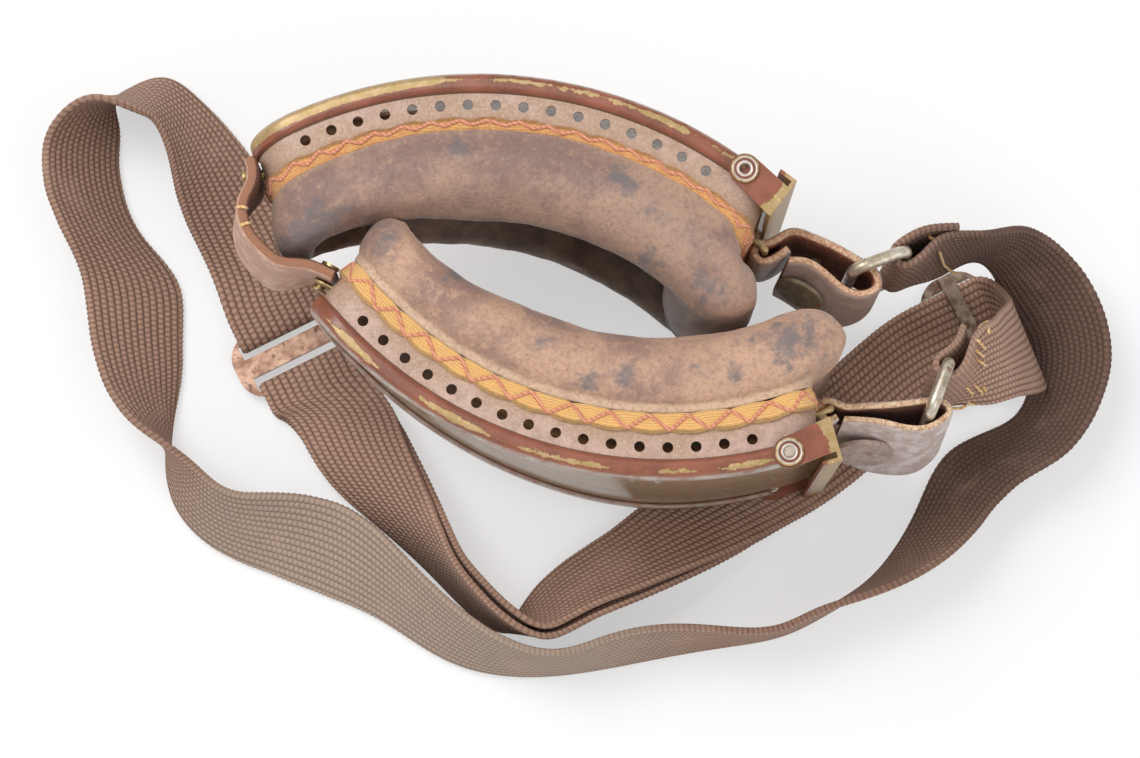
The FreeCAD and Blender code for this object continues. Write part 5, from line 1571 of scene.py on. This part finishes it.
class GOGGLES_OT_fittings(bpy.types.Operator):
    """Wall loops, wire rings, rivets and sliders"""

    bl_idname = "goggles.fittings"
    bl_label = "Fittings"

    def execute(self, context):
        nickel = make_metal("ring_wire", "#ddd6c8", "#b5a892", "#8a6a54", 2.6, 0.26)
        discs = {"right": make_metal("right_disc", "#a09478", "#867a66", "#9a5c40", 2.0, 0.4, 0.35),
                 "left": make_metal("left_disc", "#b59f96", "#a08c84", "#8a6c60", 2.4, 0.5, 0.1)}
        for side in EYES:
            dress(side + "_wall_loop", old_brass(), 0.0)
            dress(side + "_wire_ring", nickel, 0.0, 60.0)
            dress(side + "_bridge_rivet", old_brass(), 0.12)
            dress(side + "_tab_rivet", discs[side], 0.25)
        dress("slider_a", make_metal("slider_rust", "#b89884", "#977462", "#74503f", 3.0, 0.42), 0.3)
        dress("slider_b", make_metal("slider_steel", "#a08c7c", "#745c4e", "#523c32", 2.4, 0.34), 0.3)
        return {"FINISHED"}


# Leather strips
LEATHER_STEP = 0.35
LEATHER_COLUMNS = 17


def leather_strip(name, stations, thick, material, seed, wander=0.12, rough_first=False):
    """Strip of leather, with its cut edges and its rough side marked; gives the piece and its run."""
    strip = run_strip(stations, LEATHER_STEP)
    grid, v, across = strip_grid(strip, thick, LEATHER_COLUMNS, 0.9, 0.92, 0.0, wander, seed)
    mesh = make_mesh(name, grid, strip["run"], v, caps=True)
    edge = smooth_step(0.955, 0.995, np.abs(np.concatenate([across, across[::-1]])))
    mark(mesh, "cut_edge", np.broadcast_to(edge, grid.shape[:2]))
    rough = np.repeat([float(rough_first), float(not rough_first)], LEATHER_COLUMNS)
    mark(mesh, "rough_side", np.broadcast_to(rough, grid.shape[:2]))
    return make_piece(name, mesh, material), strip


class GOGGLES_OT_tabs(bpy.types.Operator):
    """Leather tabs between the wall loops and the wire rings"""

    bl_idname = "goggles.tabs"
    bl_label = "Temple tabs"

    def execute(self, context):
        brown = make_tab_leather("right_tab_leather", "#b0958b", "#c4aea4", "#e2c2a4", "#a8664c")
        pale = make_tab_leather("left_tab_leather", "#bda8a1", "#ddd0cb", "#ead2b2", "#8a5c4c")
        tabs = {"right": (right_tab_stations(), 1.8, brown, 2.0), "left": (left_tab_stations(), 1.6, pale, 5.0)}
        for side, (stations, thick, leather, seed) in tabs.items():
            piece = leather_strip(side + "_tab", stations, thick, leather, seed)[0]
            settle(piece, body_of(side), side + "_temple_tab")
        return {"FINISHED"}


class GOGGLES_OT_bridge(bpy.types.Operator):
    """Leather across the nose"""

    bl_idname = "goggles.bridge"
    bl_label = "Nose bridge"

    def execute(self, context):
        leather = make_tab_leather("bridge_leather", "#bb917c", "#d6b09a", "#96705e", "#8a6250")
        stations = [(low + (BRIDGE_LOW_Z,), top + (BRIDGE_TOP_Z,)) for top, low in BRIDGE_ROUTE]
        piece, strip = leather_strip("nose_leather", stations, 2.2, leather, seed=8.0, wander=0.3,
                                     rough_first=True)
        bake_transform(piece)
        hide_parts("nose_bridge")
        lines = []
        for share in (0.30, 0.40):
            k = int(len(strip["run"]) * share)
            out = strip["normal"][k]
            top = strip["high"][k]
            lines.append([top + out * across + np.array([0.0, 0.0, up])
                          for across, up in ((0.9, -0.6), (0.5, 0.35), (-0.4, 0.35), (-0.9, -0.6))])
        stitches = sew("nose_stitches", lines, 0.6, 0.3, cream_thread())
        settle(stitches, "right_eyepiece")
        return {"FINISHED"}


# Webbing
WEBBING_COLUMNS = 15
LENGTH_LAP = 0.13
FRILL = 0.13
LEAST_Z = 0.02


def woven_webbing():
    return made_once("webbing", lambda: make_weave(
        "webbing", (*looks().webbing, 1.0), "#60463a", sizes().rib / MM, WEBBING_ROW, depth=0.30, rough=0.88,
        stains_and_painted_light=webbing_stains_and_painted_light, sheen=0.06))


def webbing_piece(name, strip, thick, first, last, seed, **stains_and_painted_light):
    """One length of a strap, from run first to run last, as its own piece, with its grey stains and its painted
    shade and painted light marked.
    """
    chosen = np.nonzero((strip["run"] >= first - LENGTH_LAP) & (strip["run"] <= last + LENGTH_LAP))[0]
    part = {key: strip[key][chosen] for key in ("low", "high", "normal", "run")}
    grid, v = strip_grid(part, thick, WEBBING_COLUMNS, 0.86, 1.12, FRILL, 0.10, seed)[:2]
    grid[..., 2] = np.maximum(grid[..., 2], LEAST_Z)
    mesh = make_mesh(name, grid, part["run"], v, caps=True)
    # grey marks a real stain; dark marks painted shade above nought and painted light below nought
    for stain in ("grey", "dark"):
        strength = stains_and_painted_light[stain](part["low"]) if stain in stains_and_painted_light else 0.0
        mark(mesh, stain, np.broadcast_to(np.reshape(strength, (-1, 1)), grid.shape[:2]))
    return make_piece(name, mesh, woven_webbing())


# Grey stains of the straps, and painted shade and painted light on them, by place on their low edge
def washed_grey(low):
    return smooth_step(-18.0, -40.0, low[:, 1]) * smooth_step(34.0, 0.0, low[:, 0]) * 0.75


# Painted shade where the strap wraps round the right ring
def painted_shade_at_ring(low):
    return smooth_step(52.0, 78.0, low[:, 0]) * 0.8


# Painted light: below nought, the dark mark lightens the doubled run where it lies in shade
def painted_light_doubled(low):
    return -0.10 - 0.20 * smooth_step(20.0, 60.0, low[:, 0])


# Painted light on the short end, where it lies in shade
def painted_light_short(low):
    return -0.28


# Stations where the straps are cut into lengths: the main strap past the ring, half-way between the eyepieces
# and before its slider, and the doubled run on both sides of each slider. The main strap's left run and the
# doubled runs go with the left eyepiece; the other lengths are baked where they lie
MAIN_CUTS = (8, 26, -11)
DOUBLED_CUTS = (9, 23, 34, 48)


class GOGGLES_OT_straps(bpy.types.Operator):
    """Elastic webbing: the main strap, the doubled run and the short end"""

    bl_idname = "goggles.straps"
    bl_label = "Straps"

    def execute(self, context):
        main = run_strip(main_stations(), WEBBING_STEP)
        start, split, end = main["times"][list(MAIN_CUTS)]
        piece = webbing_piece("strap_ring_end", main, MAIN_THICK, 0.0, start, 1.0, dark=painted_shade_at_ring)
        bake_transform(piece)
        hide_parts("strap_main")
        piece = webbing_piece("strap_right_run", main, MAIN_THICK, start, split, 1.0, grey=washed_grey,
                              dark=painted_shade_at_ring)
        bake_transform(piece)
        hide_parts("strap_main")
        piece = webbing_piece("strap_left_run", main, MAIN_THICK, split, end, 1.0, grey=washed_grey)
        settle(piece, "left_eyepiece", "strap_main")
        piece = webbing_piece("strap_slider_end", main, MAIN_THICK, end, main["run"][-1], 1.0)
        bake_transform(piece)
        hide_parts("strap_main")

        doubled = run_strip(doubled_stations(), WEBBING_STEP)
        cuts = [0.0, *doubled["times"][list(DOUBLED_CUTS)], doubled["run"][-1]]
        names = ["doubled_low_end_b", "doubled_low_run", "doubled_end_a", "doubled_high_run",
                 "doubled_high_end_b"]
        for name, first, last in zip(names, cuts[:-1], cuts[1:]):
            piece = webbing_piece(name, doubled, DOUBLED_THICK, first, last, 3.0, dark=painted_light_doubled)
            if name.endswith("end_b"):
                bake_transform(piece)
            elif name.endswith("end_a"):
                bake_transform(piece)
            else:
                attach(piece, "left_eyepiece")
            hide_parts("strap_doubled")

        short = run_strip(short_stations(), WEBBING_STEP)
        piece = webbing_piece("strap_short_end", short, DOUBLED_THICK, 0.0, short["run"][-1], 6.0,
                              dark=painted_light_short)
        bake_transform(piece)
        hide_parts("strap_short")
        MADE["main"], MADE["short"] = main, short
        return {"FINISHED"}


# Sewing on the straps
NEAR_PIXELS = 4.0


def on_strip(strip, thick, spot):
    """Point of a strip's upper face nearest to a spot of the photograph, and the face's normal there."""
    best = None
    for share in np.linspace(0.04, 0.96, 24):
        for sign in (1.0, -1.0):
            base = strip["low"] * (1.0 - share) + strip["high"] * share + strip["normal"] * (sign * thick / 2.0)
            pixels = np.linalg.norm(in_photo(base) - np.array(spot), axis=1)
            far = np.where(pixels < NEAR_PIXELS, pixels, pixels + 1000.0) - 0.35 * base[:, 2]
            k = int(np.argmin(far))
            if best is None or far[k] < best[0]:
                best = (far[k], base[k], strip["normal"][k] * sign)
    return best[1], best[2]


# First and last hole of each stitch, and the routes of the loose threads, in the photograph's pixels
STITCHES = {
    "short": [((977, 340), (984, 348)), ((976, 350), (983, 357)), ((978, 360), (985, 366)),
              ((966, 388), (972, 394)), ((975, 386), (981, 393)), ((984, 388), (989, 396)),
              ((968, 402), (975, 407))],
    "main": [((930, 236), (936, 240)), ((932, 244), (938, 249)), ((950, 235), (958, 239))],
}
LOOSE_THREADS = {
    "short": [[(965, 405), (958, 411), (950, 418)], [(980, 326), (986, 319), (991, 324), (986, 331)]],
    "main": [[(938, 250), (942, 262), (950, 270), (960, 277)]],
}


class GOGGLES_OT_strap_stitches(bpy.types.Operator):
    """Cream sewing thread and its loose ends on the strap's sewn ends"""

    bl_idname = "goggles.strap_stitches"
    bl_label = "Strap stitching"

    def execute(self, context):
        for key, side, thick in (("short", "left", DOUBLED_THICK), ("main", "right", MAIN_THICK)):
            strip = MADE[key]
            lines = []
            for first, last in STITCHES[key]:
                a, na = on_strip(strip, thick, first)
                b, nb = on_strip(strip, thick, last)
                lines.append([a - na * 0.5, a + na * 0.35, b + nb * 0.35, b - nb * 0.5])
            for route in LOOSE_THREADS[key]:
                spots = [on_strip(strip, thick, spot) for spot in route]
                lines.append([p + n * (0.4 + 0.5 * (i % 2)) for i, (p, n) in enumerate(spots)])
            piece = sew(key + "_strap_stitches", lines, 0.55, 0.5, cream_thread())
            settle(piece, body_of(side))
        return {"FINISHED"}


# Stage: the table's corners in metres, its colour under the object, and each lamp's power, width and place
TABLE = [(-6.0, -6.0, -0.0002), (6.0, -6.0, -0.0002), (6.0, 6.0, -0.0002), (-6.0, 6.0, -0.0002)]
TABLE_PALE = (0.9, 0.9, 0.9, 1.0)
WHITE = (1.0, 1.0, 1.0, 1.0)
WORLD_STRENGTH = 0.62
LAMPS = {"key": (5.2, 0.5, (-0.35, 0.28, 0.85)), "fill": (1.8, 0.7, (0.5, -0.4, 0.7))}
SENSOR_WIDTH = 36.0


class GOGGLES_OT_stage(bpy.types.Operator):
    """Pale table, soft light and the camera at the photograph's angle"""

    bl_idname = "goggles.stage"
    bl_label = "Stage"

    def execute(self, context):
        scene = context.scene
        table = bpy.data.meshes.new("table")
        table.from_pydata(TABLE, [], [(0, 1, 2, 3)])
        material = bpy.data.materials.new("white_table")
        material.use_nodes = True
        tree = material.node_tree
        tree.nodes.clear()
        rays = add(tree, "rays").outputs
        mirrored = add(tree, "MAXIMUM", rays["Is Glossy Ray"], rays["Is Transmission Ray"])
        seen = add(tree, "MULTIPLY", add(tree, "MAXIMUM", rays["Is Camera Ray"], mirrored), 0.5)
        add(tree, "surface", add(tree, "two shaders", seen, add(tree, "matt", TABLE_PALE),
                                 add(tree, "glow", WHITE, 1.0)))
        floor = bpy.data.objects.new("table_top", table)
        table.materials.append(material)
        scene.collection.objects.link(floor)

        world = bpy.data.worlds.new("studio")
        world.use_nodes = True
        background = world.node_tree.nodes["Background"]
        background.inputs["Color"].default_value = WHITE
        background.inputs["Strength"].default_value = WORLD_STRENGTH
        scene.world = world
        for name, (power, size, place) in LAMPS.items():
            lamp = bpy.data.lights.new(name, "AREA")
            lamp.energy = power
            lamp.size = size
            light = bpy.data.objects.new(name, lamp)
            light.location = place
            light.rotation_euler = (-Vector(place)).to_track_quat("-Z", "Y").to_euler()
            scene.collection.objects.link(light)

        lens = bpy.data.cameras.new("photograph_view")
        lens.sensor_fit = "HORIZONTAL"
        lens.sensor_width = SENSOR_WIDTH
        lens.lens = VIEW_FOCAL_PX / PHOTO_SIZE[0] * SENSOR_WIDTH
        lens.clip_start = 0.01
        camera = bpy.data.objects.new("photograph_view", lens)
        way = np.array([0.0, -math.cos(VIEW_ELEVATION), math.sin(VIEW_ELEVATION)])
        camera.location = tuple((way * VIEW_DISTANCE + LAYOUT_SHIFT) * MM)
        camera.rotation_euler = (math.pi / 2.0 - VIEW_ELEVATION, 0.0, 0.0)
        scene.collection.objects.link(camera)
        scene.camera = camera
        scene.view_settings.view_transform = "Standard"
        return {"FINISHED"}


OPERATORS = (GOGGLES_OT_rims, GOGGLES_OT_walls, GOGGLES_OT_lenses, GOGGLES_OT_cushions, GOGGLES_OT_linings,
             GOGGLES_OT_tapes, GOGGLES_OT_latches, GOGGLES_OT_fittings, GOGGLES_OT_tabs, GOGGLES_OT_bridge,
             GOGGLES_OT_straps, GOGGLES_OT_strap_stitches, GOGGLES_OT_stage)


class GOGGLES_PT_panel(bpy.types.Panel):
    """Sizes, colours and pieces of the goggles"""

    bl_idname = "GOGGLES_PT_panel"
    bl_label = "Flying goggles"
    bl_space_type = "VIEW_3D"
    bl_region_type = "UI"
    bl_category = "Goggles"

    def draw(self, context):
        for group in (context.scene.goggle_looks, context.scene.goggle_sizes):
            for name in group.__annotations__:
                self.layout.prop(group, name)
        for operator in OPERATORS:
            self.layout.operator(operator.bl_idname)


CLASSES = (GoggleLooks, GoggleSizes) + OPERATORS + (GOGGLES_PT_panel,)


def register():
    for item in CLASSES:
        bpy.utils.register_class(item)
    bpy.types.Scene.goggle_looks = bpy.props.PointerProperty(type=GoggleLooks)
    bpy.types.Scene.goggle_sizes = bpy.props.PointerProperty(type=GoggleSizes)


def unregister():
    del bpy.types.Scene.goggle_sizes
    del bpy.types.Scene.goggle_looks
    for item in reversed(CLASSES):
        bpy.utils.unregister_class(item)


def main():
    register()
    for operator in OPERATORS:
        group, name = operator.bl_idname.split(".")
        getattr(getattr(bpy.ops, group), name)()
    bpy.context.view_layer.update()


if __name__ == "__main__":
    main()
